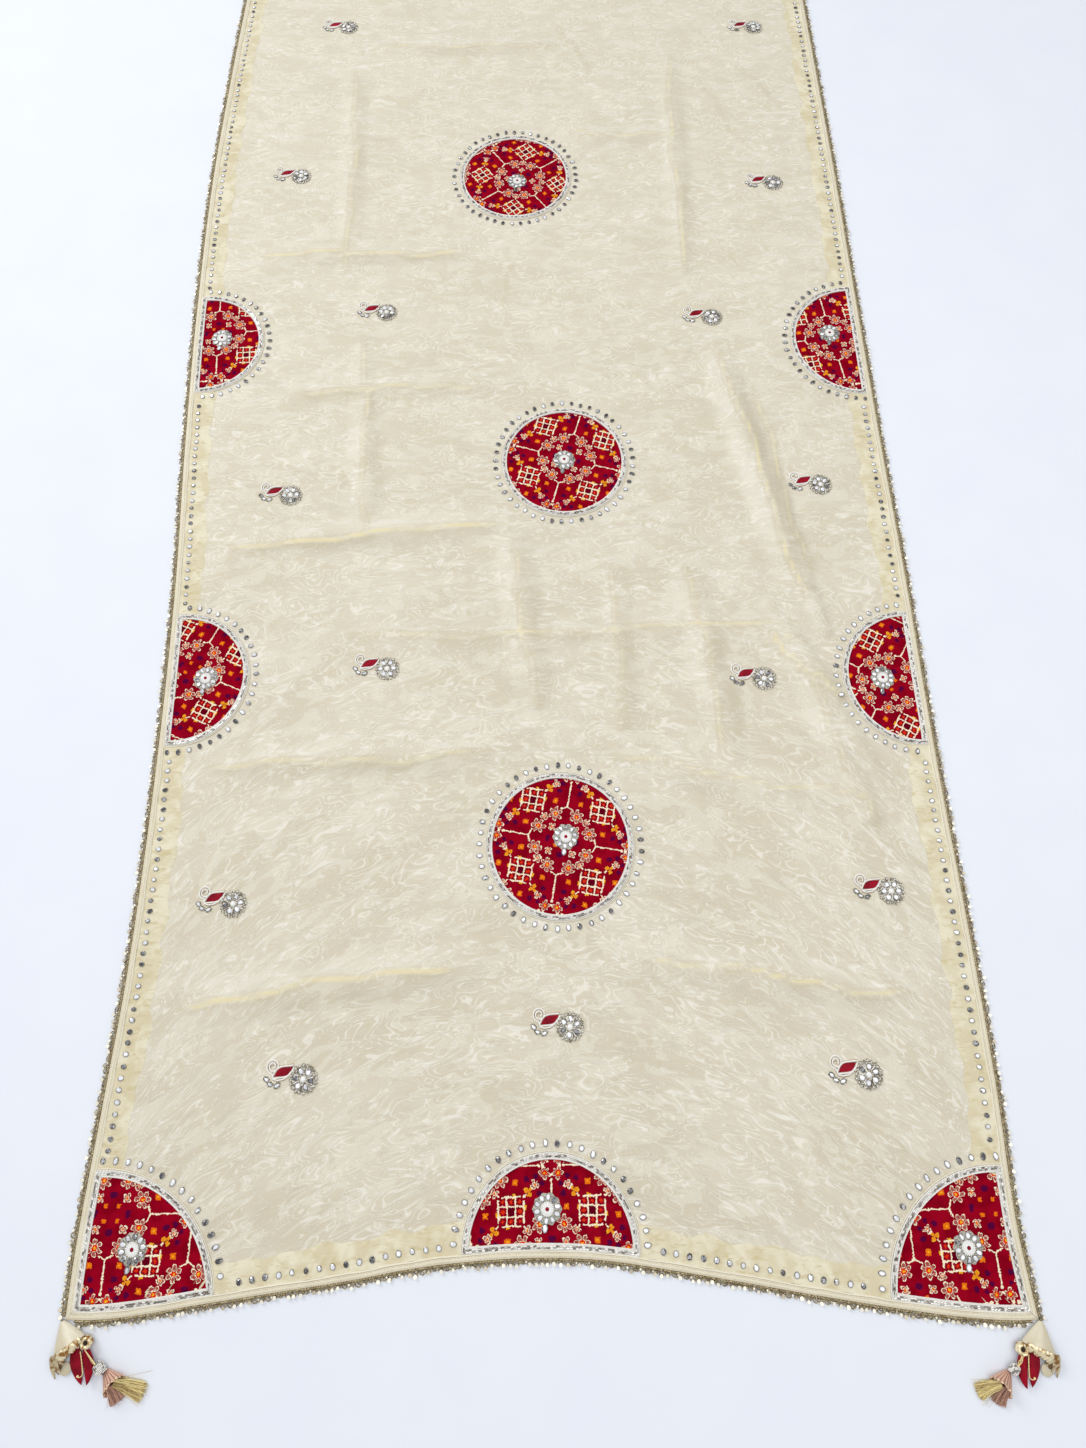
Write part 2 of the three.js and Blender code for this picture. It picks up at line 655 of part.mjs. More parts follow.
function beadGeometry(drop) {
  const bead = TASSEL.bead;
  const ball = new THREE.SphereGeometry(bead.radius, 10, 6);
  ball.translate(bead.in, -bead.out, bead.lift);
  const centre = place(bead.in, bead.out, bead.lift);
  const stem = rod(place(drop.stemIn, drop.stemOut, bead.stemLift), centre, bead.stemRadius, 6);
  return toGeometry(toSolid(ball).add(stem));
}

// A tapering lock of thread with four sides, sagging from its root to the table.
function lock(root, end, radius) {
  const direction = end.clone().sub(root);
  const rings = [0, 0.5, 1].map((share) => {
    const centre = root.clone().lerp(end, share);
    centre.z = THREE.MathUtils.lerp(root.z, end.z, Math.sin((Math.PI * share) / 2));
    const thickness = radius * (1 - 0.35 * share);
    return ovalRing(centre, direction, thickness, thickness, 4);
  });
  return toSolid(loft(rings));
}

// A bunch of locks that fans out level from a head, in two tiers.
function bunch(headLift, locks) {
  const heading = Math.atan2(-(locks.endOut - locks.rootOut), locks.endIn - locks.rootIn);
  let fused = null;
  for (let k = 0; k < locks.count; k += 1) {
    const share = (k / (locks.count - 1)) * 2 - 1;
    const tier = k % 2;
    const angle = heading + (share * locks.spread) / 2;
    const along = new THREE.Vector3(Math.cos(angle), Math.sin(angle), 0);
    const aside = new THREE.Vector3(-Math.sin(heading), Math.cos(heading), 0).multiplyScalar(share * locks.root);
    const root = place(locks.rootIn, locks.rootOut, headLift + tier * 1.6).add(aside);
    const reach = locks.length * (1 - 0.12 * tier - 0.08 * share * share);
    const end = root.clone().addScaledVector(along, reach).setZ(1.6 + tier * 2.2);
    const strand = lock(root, end, locks.radius);
    fused = fused ? fused.add(strand) : strand;
  }
  return fused;
}

function roseGeometry() {
  const bell = TASSEL.bell;
  const apex = place(bell.apexIn, bell.apexOut, 0);
  const mouth = place(bell.mouthIn, bell.mouthOut, 0);
  const direction = mouth.clone().sub(apex);
  const rings = [0, 0.4, 1].map((share) => {
    const radius = THREE.MathUtils.lerp(bell.apexRadius, bell.mouthRadius, share ** 0.7);
    const centre = apex.clone().lerp(mouth, share).setZ(radius * bell.flat + SEAM_GAP);
    return ovalRing(centre, direction, radius, radius * bell.flat, bell.sides);
  });
  const head = toSolid(loft(rings));
  return toGeometry(head.add(bunch(4, TASSEL.roseLocks)));
}

function goldGeometry(drop) {
  const neck = TASSEL.goldNeck;
  const locks = { ...TASSEL.goldLocks, length: drop.goldLength };
  const direction = place(locks.endIn - neck.in, locks.endOut - neck.out, 0).normalize();
  const centre = place(neck.in, neck.out, neck.lift);
  const from = centre.clone().addScaledVector(direction, -neck.length / 2);
  const to = centre.clone().addScaledVector(direction, neck.length / 2);
  const head = rod(from, to, neck.radius, 8);
  return toGeometry(head.add(bunch(neck.lift - 1, locks)));
}

// Takes a solid from a tassel's own place to the corner that it hangs on. The right tassel mirrors the left one.
function hang(solid, side, lie) {
  const cone = TASSEL.cone;
  const tip = place(cone.apexIn, cone.apexOut, 0);
  const moved = solid
    .translate([-tip.x, -tip.y, 0])
    .rotate([0, 0, -lie.turn])
    .translate([tip.x + lie.in, tip.y - lie.out, 0]);
  const corner = clothPoints[0].at(side === "left" ? 0 : -1);
  if (side === "left") return moved.translate([corner.x - LACE.width, corner.y - LACE.width, 0]);
  return moved.mirror([1, 0, 0]).translate([corner.x + LACE.width, corner.y - LACE.width, 0]);
}

// The area that a cone and its sewn tip take up, where the lace is cut back.
function coneFootprint(side) {
  const cone = TASSEL.cone;
  const apex = place(cone.apexIn, cone.apexOut, 0);
  const mouth = place(cone.mouthIn, cone.mouthOut, 0);
  const direction = mouth.clone().sub(apex);
  const level = new THREE.Vector3(-direction.y, direction.x, 0).normalize();
  const at = (centre, aside) => [centre.x + level.x * aside, centre.y + level.y * aside];
  const narrow = cone.apexWidth + 2 * SEAM_GAP;
  const wide = cone.halfWidth + 2 * SEAM_GAP;
  const shadow = fullPrism([at(apex, narrow), at(mouth, wide), at(mouth, -wide), at(apex, -narrow)]);
  const room = LACE.width + SEAM_GAP;
  const corner = fullPrism([[-1, -1], [room, -1], [room, room], [-1, room]]);
  return hang(shadow, side, SWUNG[side].cone).add(hang(corner, side, SWUNG.left.cone));
}

function addTassels() {
  for (const side of ["left", "right"]) {
    const add = (name, part, geometry, finish) => {
      const hung = hang(toSolid(geometry), side, SWUNG[side][part]);
      addPiece("tassel_" + side + "_" + name, toGeometry(hung), finish);
    };
    add("cone", "cone", coneGeometry(), COLOUR.satin);
    TASSEL.petals.forEach((petal, n) => {
      add("petal_" + (n + 1), "petal", petalGeometry(petal), COLOUR.redSilk);
    });
    add("bead", "drop", beadGeometry(DROP[side]), COLOUR.silverBead);
    add("rose", "drop", roseGeometry(), COLOUR.roseThread);
    add("gold", "drop", goldGeometry(DROP[side]), COLOUR.goldThread);
  }
}

addCloth();
addBorders();
addMedallions();
addMotifs();
addTassels();

// The origin is the middle of the whole saree, on the table.
const box = new THREE.Box3().setFromObject(saree);
saree.position.set(-(box.min.x + box.max.x) / 2, -(box.min.y + box.max.y) / 2, -box.min.z);

export default saree;
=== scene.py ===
import math
import random

import bpy
import numpy as np
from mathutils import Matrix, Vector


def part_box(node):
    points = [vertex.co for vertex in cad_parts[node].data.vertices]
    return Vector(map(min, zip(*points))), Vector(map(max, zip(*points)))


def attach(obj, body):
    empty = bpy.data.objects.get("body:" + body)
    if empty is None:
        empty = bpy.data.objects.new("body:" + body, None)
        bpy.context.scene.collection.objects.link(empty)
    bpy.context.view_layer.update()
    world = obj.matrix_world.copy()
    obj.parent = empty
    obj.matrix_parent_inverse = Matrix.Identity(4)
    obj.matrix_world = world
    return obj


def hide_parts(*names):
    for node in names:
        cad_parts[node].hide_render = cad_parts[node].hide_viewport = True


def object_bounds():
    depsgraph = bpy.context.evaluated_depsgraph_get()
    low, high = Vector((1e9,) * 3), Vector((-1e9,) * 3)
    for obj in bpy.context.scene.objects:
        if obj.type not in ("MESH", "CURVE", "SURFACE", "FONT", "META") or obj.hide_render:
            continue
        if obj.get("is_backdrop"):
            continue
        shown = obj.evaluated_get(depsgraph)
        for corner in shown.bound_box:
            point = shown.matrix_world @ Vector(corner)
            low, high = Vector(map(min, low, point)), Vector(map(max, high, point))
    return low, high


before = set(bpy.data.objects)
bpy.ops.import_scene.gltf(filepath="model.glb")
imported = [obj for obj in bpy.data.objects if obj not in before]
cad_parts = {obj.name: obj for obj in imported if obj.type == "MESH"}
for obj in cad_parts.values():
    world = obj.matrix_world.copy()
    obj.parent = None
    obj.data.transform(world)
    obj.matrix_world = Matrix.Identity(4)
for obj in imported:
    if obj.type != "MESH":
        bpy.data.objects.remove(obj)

cad_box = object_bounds()
random.seed(4)

# ---- The place it lies in ----
# A plain pale floor under soft studio light. The camera stands over the worked end and looks down along
# the cloth. Places on the saree are measured from the middle of its worked end: across, then along.
FIRST_DISC = (0.021, 0.543)
disc_low, disc_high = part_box("medallion_centre_1")
START = np.array([(disc_low[k] + disc_high[k]) / 2 - FIRST_DISC[k] for k in (0, 1)] + [0.0])


def linear(value):
    """One 0-255 colour number as the linear number that a shader takes."""
    value = value / 255
    return value / 12.92 if value <= 0.04045 else ((value + 0.055) / 1.055) ** 2.4


def dye(red, green, blue):
    return (linear(red), linear(green), linear(blue), 1.0)


class Shade:
    """A value that varies over a surface. Arithmetic on it adds Math nodes to its finish."""

    def __init__(self, finish, socket):
        self.finish = finish
        self.socket = socket

    def math(self, operation, *values):
        return self.finish.add("ShaderNodeMath", {"operation": operation}, values)

    def __add__(self, other):
        return self.math("ADD", self, other)

    __radd__ = __add__

    def __mul__(self, other):
        return self.math("MULTIPLY", self, other)

    __rmul__ = __mul__

    def __sub__(self, other):
        return self.math("SUBTRACT", self, other)

    def __rsub__(self, other):
        return self.math("SUBTRACT", other, self)

    def __lt__(self, other):
        return self.math("LESS_THAN", self, other)

    def __gt__(self, other):
        return self.math("GREATER_THAN", self, other)

    def __abs__(self):
        return self.math("ABSOLUTE", self)

    def at_least(self, other):
        return self.math("MAXIMUM", self, other)

    def at_most(self, other):
        return self.math("MINIMUM", self, other)

    def sine(self):
        return self.math("SINE", self)

    def root(self):
        return self.math("SQRT", self)

    def rises(self, low, high):
        """0 below low, 1 above high, and smooth between."""
        settings = {"interpolation_type": "SMOOTHSTEP"}
        inputs = {"Value": self, "From Min": low, "From Max": high}
        return self.finish.add("ShaderNodeMapRange", settings, inputs)


class Finish:
    """A material made of one Principled surface and the nodes that feed it."""

    def __init__(self, name, **sockets):
        self.data = bpy.data.materials.new(name)
        self.data.use_nodes = True
        self.nodes = self.data.node_tree.nodes
        self.nodes.clear()
        self.links = self.data.node_tree.links
        self.surface = self.nodes.new("ShaderNodeBsdfPrincipled")
        output = self.nodes.new("ShaderNodeOutputMaterial")
        self.links.new(self.surface.outputs[0], output.inputs[0])
        self.wear(**sockets)

    def feed(self, socket, value):
        if isinstance(value, Shade):
            self.links.new(value.socket, socket)
        else:
            socket.default_value = value

    def add(self, kind, settings=None, inputs=(), out=0):
        node = self.nodes.new(kind)
        for key, value in (settings or {}).items():
            setattr(node, key, value)
        pairs = inputs.items() if isinstance(inputs, dict) else enumerate(inputs)
        for key, value in pairs:
            self.feed(node.inputs[key], value)
        return Shade(self, node.outputs[out])

    def wear(self, **sockets):
        """Sets the surface's sockets: base_color stands for Base Color."""
        for key, value in sockets.items():
            self.feed(self.surface.inputs[key.replace("_", " ").title().replace("Ior", "IOR")], value)

    def mix(self, share, first, second):
        inputs = {0: share, 6: first, 7: second}
        return self.add("ShaderNodeMix", {"data_type": "RGBA"}, inputs, out=2)

    def where(self):
        return self.add("ShaderNodeTexCoord", out=3)

    def stretch(self, vector, factors):
        return self.add("ShaderNodeVectorMath", {"operation": "MULTIPLY"}, {0: vector, 1: factors})

    def shift(self, vector, amount):
        return self.add("ShaderNodeVectorMath", {"operation": "ADD"}, {0: vector, 1: amount})

    def noise(self, vector, scale, detail=2.0, roughness=0.5, distortion=0.0, out=0):
        inputs = {
            "Vector": vector,
            "Scale": scale,
            "Detail": detail,
            "Roughness": roughness,
            "Distortion": distortion,
        }
        return self.add("ShaderNodeTexNoise", {}, inputs, out=out)

    def drawn(self, name, out=2):
        """A value kept on the mesh: out 2 is a number and out 1 a vector."""
        return self.add("ShaderNodeAttribute", {"attribute_name": name}, out=out)

    def bumps(self, height, distance, strength=1.0):
        inputs = {"Strength": strength, "Distance": distance, "Height": height}
        self.wear(normal=self.add("ShaderNodeBump", {}, inputs))


floor_finish = Finish("pale_floor", base_color=dye(236, 238, 243), roughness=0.75)
floor_cloth = floor_finish.noise(floor_finish.where(), 9.0, detail=4.0)
floor_finish.wear(base_color=floor_finish.mix(floor_cloth, dye(230, 233, 241), dye(236, 239, 245)))
floor_mesh = bpy.data.meshes.new("floor")
FLOOR_HALF = (4.5, 6.5)
floor_mesh.from_pydata(
    [(x * FLOOR_HALF[0], y * FLOOR_HALF[1], -0.0004) for x, y in ((-1, -1), (1, -1), (1, 1), (-1, 1))],
    [],
    [(0, 1, 2, 3)],
)
floor = bpy.data.objects.new("floor", floor_mesh)
bpy.context.scene.collection.objects.link(floor)
floor_mesh.materials.append(floor_finish.data)
floor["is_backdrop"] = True

world = bpy.data.worlds.new("studio")
world.use_nodes = True
world.node_tree.nodes["Background"].inputs["Color"].default_value = (0.93, 0.955, 1.0, 1.0)
world.node_tree.nodes["Background"].inputs["Strength"].default_value = 0.605
bpy.context.scene.world = world
bpy.context.scene.view_settings.view_transform = "Standard"


def hang_lamp(name, place, toward, size, power, colour):
    lamp = bpy.data.lights.new(name, "AREA")
    lamp.shape = "RECTANGLE"
    lamp.size, lamp.size_y = size
    lamp.energy = power
    lamp.color = colour
    held = bpy.data.objects.new(name, lamp)
    bpy.context.scene.collection.objects.link(held)
    held.location = START + np.array(place)
    direction = np.array(toward) - np.array(place)
    tilt = math.atan2(math.hypot(direction[0], direction[1]), -direction[2])
    held.rotation_euler = (tilt, 0.0, math.atan2(direction[1], direction[0]) - math.pi / 2)


LIT_PLACE = (0.0, 0.9, 0.0)
hang_lamp("window", (-3.7, 4.0, 3.3), LIT_PLACE, size=(2.6, 2.6), power=129.0, colour=(0.97, 0.985, 1.0))
hang_lamp("softbox", (0.6, 0.7, 3.4), LIT_PLACE, size=(3.0, 4.0), power=49.0, colour=(1.0, 0.995, 0.985))

CAMERA = {
    "stands": (-0.00578, 0.34270, 1.2283),
    "lean": 19.988,
    "turn": -1.153,
    "lens": 22.376,
    "shift": -0.03425,
}
camera_data = bpy.data.cameras.new("camera")
camera_data.lens = CAMERA["lens"]
camera_data.shift_y = CAMERA["shift"]
camera = bpy.data.objects.new("camera", camera_data)
bpy.context.scene.collection.objects.link(camera)
camera.location = START + np.array(CAMERA["stands"])
camera.rotation_euler = (math.radians(CAMERA["lean"]), 0.0, math.radians(CAMERA["turn"]))
bpy.context.scene.camera = camera

# ---- The cloth ----
# One long piece of thin tissue silk, pressed between rollers to give it a watered, moire face.
# It is spread out flat, with the creases it was stored in and a few soft folds that didn't pull out.
LENGTH = 5.5
WIDTH = 1.1
WORKED = 2.36
FACE = 0.0012
# along, left edge, right edge
LONG_EDGES = np.array(
    [
        (-0.020, -0.5620, 0.5575),
        (0.085, -0.5608, 0.5510),
        (0.230, -0.5520, 0.5553),
        (0.400, -0.5423, 0.5556),
        (0.660, -0.5400, 0.5520),
        (0.930, -0.5460, 0.5530),
        (1.180, -0.5600, 0.5510),
        (1.450, -0.5710, 0.5510),
        (1.750, -0.5750, 0.5523),
        (2.050, -0.5660, 0.5505),
        (2.300, -0.5560, 0.5490),
        (3.100, -0.5520, 0.5520),
        (4.300, -0.5460, 0.5560),
        (5.520, -0.5500, 0.5500),
    ]
)
# across, pallu edge
PALLU_EDGE = np.array(
    [
        (-0.570, 0.0110),
        (-0.530, 0.0093),
        (-0.480, 0.0128),
        (-0.410, 0.0217),
        (-0.320, 0.0323),
        (-0.230, 0.0430),
        (-0.180, 0.0505),
        (-0.130, 0.0560),
        (-0.060, 0.0600),
        (0.000, 0.0603),
        (0.060, 0.0564),
        (0.125, 0.0472),
        (0.220, 0.0314),
        (0.310, 0.0158),
        (0.400, 0.0017),
        (0.470, -0.0077),
        (0.530, -0.0124),
        (0.570, -0.0110),
    ]
)
# Soft ridges: from (across, along) to (across, along), height, half width.
RIDGES = [
    (-0.470, 0.345, -0.060, 0.396, 0.0035, 0.040),
    (0.090, 0.398, 0.470, 0.340, 0.0035, 0.040),
    (-0.480, 0.662, -0.060, 0.672, 0.0030, 0.036),
    (0.090, 0.668, 0.430, 0.590, 0.0030, 0.036),
    (-0.330, 0.850, 0.400, 0.862, 0.0025, 0.036),
    (-0.480, 1.010, -0.030, 1.040, 0.0040, 0.038),
    (-0.420, 1.290, -0.060, 1.295, 0.0030, 0.036),
    (-0.480, 1.575, -0.110, 1.578, 0.0035, 0.036),
    (0.060, 1.850, 0.290, 1.845, 0.0030, 0.036),
    (-0.310, 2.090, 0.060, 2.085, 0.0030, 0.036),
    (-0.330, 2.050, -0.318, 1.520, 0.0030, 0.034),
    (-0.290, 1.410, -0.262, 1.010, 0.0035, 0.034),
    (0.268, 2.060, 0.262, 1.520, 0.0035, 0.034),
    (-0.046, 1.060, -0.008, 0.740, 0.0055, 0.040),
    (0.113, 0.980, 0.116, 0.700, 0.0035, 0.034),
    (0.222, 0.980, 0.268, 0.640, 0.0055, 0.040),
    (0.300, 1.360, 0.400, 0.880, 0.0090, 0.042),
    (0.372, 0.820, 0.452, 0.560, 0.0060, 0.038),
    (0.350, 1.060, 0.428, 0.840, 0.0060, 0.018),
    (0.335, 0.900, 0.432, 0.738, 0.0062, 0.018),
    (0.395, 0.775, 0.480, 0.610, 0.0056, 0.017),
]
# Pressed creases: from (across, along) to (across, along), and how sharply each is pressed.
CREASES = [
    (-0.500, 0.344, -0.090, 0.396, 1.0),
    (0.110, 0.396, 0.480, 0.338, 0.9),
    (-0.500, 0.658, -0.070, 0.672, 0.9),
    (0.080, 0.668, 0.480, 0.592, 0.8),
    (-0.330, 0.850, 0.410, 0.862, 0.8),
    (-0.520, 1.002, -0.030, 1.040, 1.0),
    (-0.400, 1.288, -0.070, 1.295, 0.9),
    (0.230, 1.362, 0.320, 1.356, 0.5),
    (-0.500, 1.578, -0.080, 1.574, 0.9),
    (-0.440, 1.860, -0.180, 1.850, 0.4),
    (0.060, 1.855, 0.280, 1.845, 0.9),
    (-0.300, 2.095, 0.060, 2.085, 0.8),
    (0.270, 2.045, 0.410, 2.035, 0.5),
    (-0.327, 2.060, -0.320, 1.500, 0.7),
    (-0.285, 1.410, -0.266, 1.000, 0.7),
    (-0.044, 1.600, -0.044, 1.400, 0.4),
    (-0.044, 1.020, -0.006, 0.720, 0.7),
    (0.267, 2.080, 0.262, 1.500, 0.8),
    (0.113, 0.980, 0.116, 0.680, 0.6),
    (0.225, 0.980, 0.262, 0.650, 0.7),
    (0.300, 1.380, 0.404, 0.870, 0.9),
    (0.356, 1.300, 0.412, 0.920, 0.8),
    (0.378, 0.800, 0.462, 0.540, 0.7),
    (0.330, 0.852, 0.436, 0.736, 1.0),
    (0.318, 0.840, 0.394, 0.832, 0.8),
    (0.040, 2.180, 0.132, 1.990, 0.5),
    (0.388, 2.050, 0.484, 1.900, 0.5),
    (0.328, 1.990, 0.394, 1.810, 0.5),
]
STORED_FOLDS = (2.6273, 3.2018, 3.7764, 4.3509, 4.9255)


def through(table, column, at):
    """A smooth curve through the rows of a table, for one column, at places along its first column."""
    places = table[:, 0]
    values = table[:, column]
    before = np.maximum(np.arange(len(table)) - 1, 0)
    after = np.minimum(np.arange(len(table)) + 1, len(table) - 1)
    slopes = (values[after] - values[before]) / (places[after] - places[before])
    k = np.clip(np.searchsorted(places, at, side="right") - 1, 0, len(table) - 2)
    span = places[k + 1] - places[k]
    t = np.clip((at - places[k]) / span, 0.0, 1.0)
    start = (1 + 2 * t) * (1 - t) ** 2 * values[k] + t * (1 - t) ** 2 * span * slopes[k]
    end = t * t * (3 - 2 * t) * values[k + 1] + t * t * (t - 1) * span * slopes[k + 1]
    return start + end


def left_edge(along):
    return through(LONG_EDGES, 1, along)


def right_edge(along):
    return through(LONG_EDGES, 2, along)


def pallu_edge(across):
    return through(PALLU_EDGE, 1, across)


def smooth_rise(value, low, high):
    t = np.clip((value - low) / (high - low), 0.0, 1.0)
    return t * t * (3 - 2 * t)


def beside_line(line, x, y):
    """How far places lie aside from a line, and their share of the way along it."""
    x0, y0, x1, y1 = line[:4]
    length = math.hypot(x1 - x0, y1 - y0)
    along = ((x - x0) * (x1 - x0) + (y - y0) * (y1 - y0)) / length
    aside = ((x - x0) * (y1 - y0) - (y - y0) * (x1 - x0)) / length
    return aside, along / length


def inland(x, y):
    """0 at the cloth's edges, which lie flat, and 1 further in."""
    edge = np.minimum(np.minimum(x - left_edge(y), right_edge(y) - x), y - pallu_edge(x))
    return smooth_rise(np.minimum(edge, LENGTH - y), 0.030, 0.110)


def pressed(x, y):
    """How strongly a crease marks each place, from 0 to 1."""
    mark = np.zeros_like(x)
    lines = CREASES + [(-0.46, y0, 0.46, y0 + 0.012, 0.8) for y0 in STORED_FOLDS]
    for n, line in enumerate(lines):
        aside, share = beside_line(line, x, y)
        wander = 0.004 * np.sin(share * 9.0 + n) + 0.0025 * np.sin(share * 23.0 + 2 * n)
        strength = line[4] * smooth_rise(share, 0.0, 0.12) * smooth_rise(1 - share, 0.0, 0.12)
        mark = np.maximum(mark, strength * np.exp(-(((aside - wander) / 0.0052) ** 2)))
    return mark


def lie(x, y):
    """Height of the cloth's face over the floor."""
    x = np.asarray(x, dtype=float)
    y = np.asarray(y, dtype=float)
    high = np.zeros_like(x)
    folds = [(-0.43, y0, 0.43, y0 + 0.01, 0.0035, 0.09) for y0 in STORED_FOLDS]
    for ridge in RIDGES + folds:
        aside, share = beside_line(ridge, x, y)
        inside = np.clip(share, 0.0, 1.0)
        crest = np.cos(np.clip(aside / ridge[5], -1, 1) * math.pi / 2) ** 2 * np.sin(math.pi * inside) ** 0.5
        high = np.maximum(high, ridge[4] * crest)
    wave = np.sin(x * 31 + 2.1 * np.sin(y * 7)) * np.sin(y * 23 + 1.7 * np.sin(x * 9)) * 0.5 + 0.5
    wave = wave + 0.5 * np.sin(x * 73 + y * 41 + 2.0 * np.sin(y * 19)) * np.sin(y * 67 - x * 17)
    return FACE + (high + 0.0012 * pressed(x, y) + 0.0006 * wave) * inland(x, y)


def facing_window(x, y, z):
    """How much each place of a net leans to the window, from -1 to 1, for the painted light and shade of the
    folds.
    """
    step_x, step_y = np.gradient(x, axis=1), np.gradient(y, axis=0)
    rise_x = np.gradient(z, axis=1) / step_x
    rise_y = np.gradient(z, axis=0) / step_y
    window = (0.67, -0.74)
    full_lean = 0.22
    return np.clip((window[0] * rise_x + window[1] * rise_y) / full_lean, -1.0, 1.0)


def make_piece(name, points, faces, finish, smooth=True, values=None, per_face=None):
    """Makes one piece from places on the saree, and lets it ride with the saree."""
    mesh = bpy.data.meshes.new(name)
    moved = np.asarray(points, dtype=float).reshape(-1, 3) + START
    mesh.from_pydata(moved.tolist(), [], [tuple(int(k) for k in face) for face in faces])
    for key, numbers in (values or {}).items():
        numbers = np.asarray(numbers, dtype=np.float32)
        kind = "FLOAT_VECTOR" if numbers.ndim == 2 else "FLOAT"
        field = "vector" if numbers.ndim == 2 else "value"
        mesh.attributes.new(key, kind, "POINT").data.foreach_set(field, numbers.ravel())
    # a value kept on each face that paints light and shade into some finishes: reflections and glints on
    # mirrors and beads, shade on folds, pleats and lower petals, and random tone on threads
    if per_face is not None:
        glint = mesh.attributes.new("glint", "FLOAT", "FACE")
        glint.data.foreach_set("value", np.asarray(per_face, np.float32))
    if smooth:
        mesh.shade_smooth()
    else:
        mesh.shade_flat()
    mesh.materials.append(finish.data)
    piece = bpy.data.objects.new(name, mesh)
    bpy.context.scene.collection.objects.link(piece)
    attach(piece, "root")
    return piece


def net(rows, columns, first=0):
    """The faces of a net of points, counted row by row."""
    k = np.arange(rows - 1)[:, None] * columns + np.arange(columns - 1)[None, :] + first
    return np.stack([k, k + 1, k + columns + 1, k + columns], axis=-1).reshape(-1, 4)


silk = Finish("moire_tissue", roughness=0.42, metallic=0.0)
silk.wear(sheen_weight=0.25, sheen_roughness=0.4, specular_ior_level=0.35)
here = silk.shift(silk.where(), tuple(-START))
across = silk.add("ShaderNodeSeparateXYZ", {}, [here], out=0)
along = silk.add("ShaderNodeSeparateXYZ", {}, [here], out=1)
# the watered lines bow across the width near the pallu, and run nearly level further on
bowed = along + across * across * (1 - along.rises(0.30, 1.10)) * 0.8
place = silk.add("ShaderNodeCombineXYZ", {}, [across, bowed, 0.0])
sway = silk.noise(silk.stretch(place, (6.0, 13.0, 1.0)), 1.0, detail=1.0)
watered = silk.noise(
    silk.stretch(place, (17.0, 44.0, 1.0)), 1.0, detail=1.6, roughness=0.45, distortion=0.9
)
rings = ((watered + sway * 0.5) * 62.0).sine()
grain_field = watered * 0.55 + silk.noise(silk.stretch(place, (9.0, 26.0, 1.0)), 1.0, detail=0.5)
hatch = (grain_field * 300.0).sine()
patches = silk.noise(silk.shift(place, (3.0, 1.0, 0.0)), 19.0, detail=2.0, distortion=0.6)
elsewhere = silk.stretch(silk.shift(place, (1.0, 5.0, 0.0)), (22.0, 50.0, 1.0))
islands = silk.noise(elsewhere, 1.0, detail=3.0, roughness=0.5, distortion=1.1)
lines = rings.rises(0.70, 0.96) * patches.rises(0.34, 0.50)
traced = silk.noise(silk.stretch(place, (34.0, 60.0, 1.0)), 1.0, detail=1.0).rises(0.40, 0.56)
shores = (0.26 - abs((islands * 46.0).sine())).rises(0.0, 0.16) * traced
undercut = (0.26 - abs((islands * 46.0 + 0.52).sine())).rises(0.0, 0.20) * traced
hatched = hatch.rises(0.1, 1.0) * (1 - patches).rises(0.42, 0.60)
weave = silk.noise(silk.stretch(place, (500.0, 2600.0, 1.0)), 1.0, detail=1.0)
far = along.rises(0.2, 2.2)
ground = silk.mix(sway.rises(0.35, 0.66), dye(212, 202, 178), dye(220, 211, 190))
ground = silk.mix(far * 0.5, ground, dye(226, 218, 195))
ground = silk.mix(islands.rises(0.50, 0.56) * 0.42, ground, dye(234, 229, 213))
ground = silk.mix(undercut * 0.36, ground, dye(195, 181, 150))
ground = silk.mix((shores * 0.62).at_least(lines * 0.52), ground, dye(246, 242, 231))
troughs = (0.0 - rings).rises(0.6, 1.0) * patches.rises(0.38, 0.6)
ground = silk.mix(troughs * 0.26, ground, dye(200, 187, 159))
ground = silk.mix(hatched * 0.22, ground, dye(192, 178, 146))
ground = silk.mix(weave * 0.10, ground, dye(190, 180, 150))
# painted light and shade: places of the soft folds that lean to the window are painted lighter, those turned
# from it darker
lit = silk.drawn("lit")
ground = silk.mix(lit.rises(0.05, 1.0) * 0.40, ground, dye(240, 236, 224))
ground = silk.mix((0.0 - lit).rises(0.05, 1.0) * 0.62, ground, dye(192, 180, 152))
# the creases are painted lighter and yellower, partly their own tint and partly a painted highlight along
# each pressed ridge
crease = silk.drawn("crease")
uneven_crease = silk.noise(here, 11.0, detail=2.0).rises(0.38, 0.62)
ground = silk.mix(crease.rises(0.40, 0.95) * (0.50 + uneven_crease * 0.42), ground, dye(232, 218, 170))
# painted shade in a band beside each crease
shade_beside_crease = crease.rises(0.05, 0.35) * (1 - crease).rises(0.30, 0.70)
ground = silk.mix(shade_beside_crease * 0.22, ground, dye(198, 182, 146))
silk.wear(base_color=ground, roughness=0.46 - lines * 0.10 + troughs * 0.06)
silk.bumps(lines * 0.6 + shores * 0.6 + weave * 0.25 - troughs * 0.3 - hatched * 0.3, 0.00022, 0.8)

places_along = np.concatenate([np.arange(0.0, WORKED, 0.0075), np.linspace(WORKED, LENGTH, 105)])
shares = np.linspace(0.0, 1.0, 150)
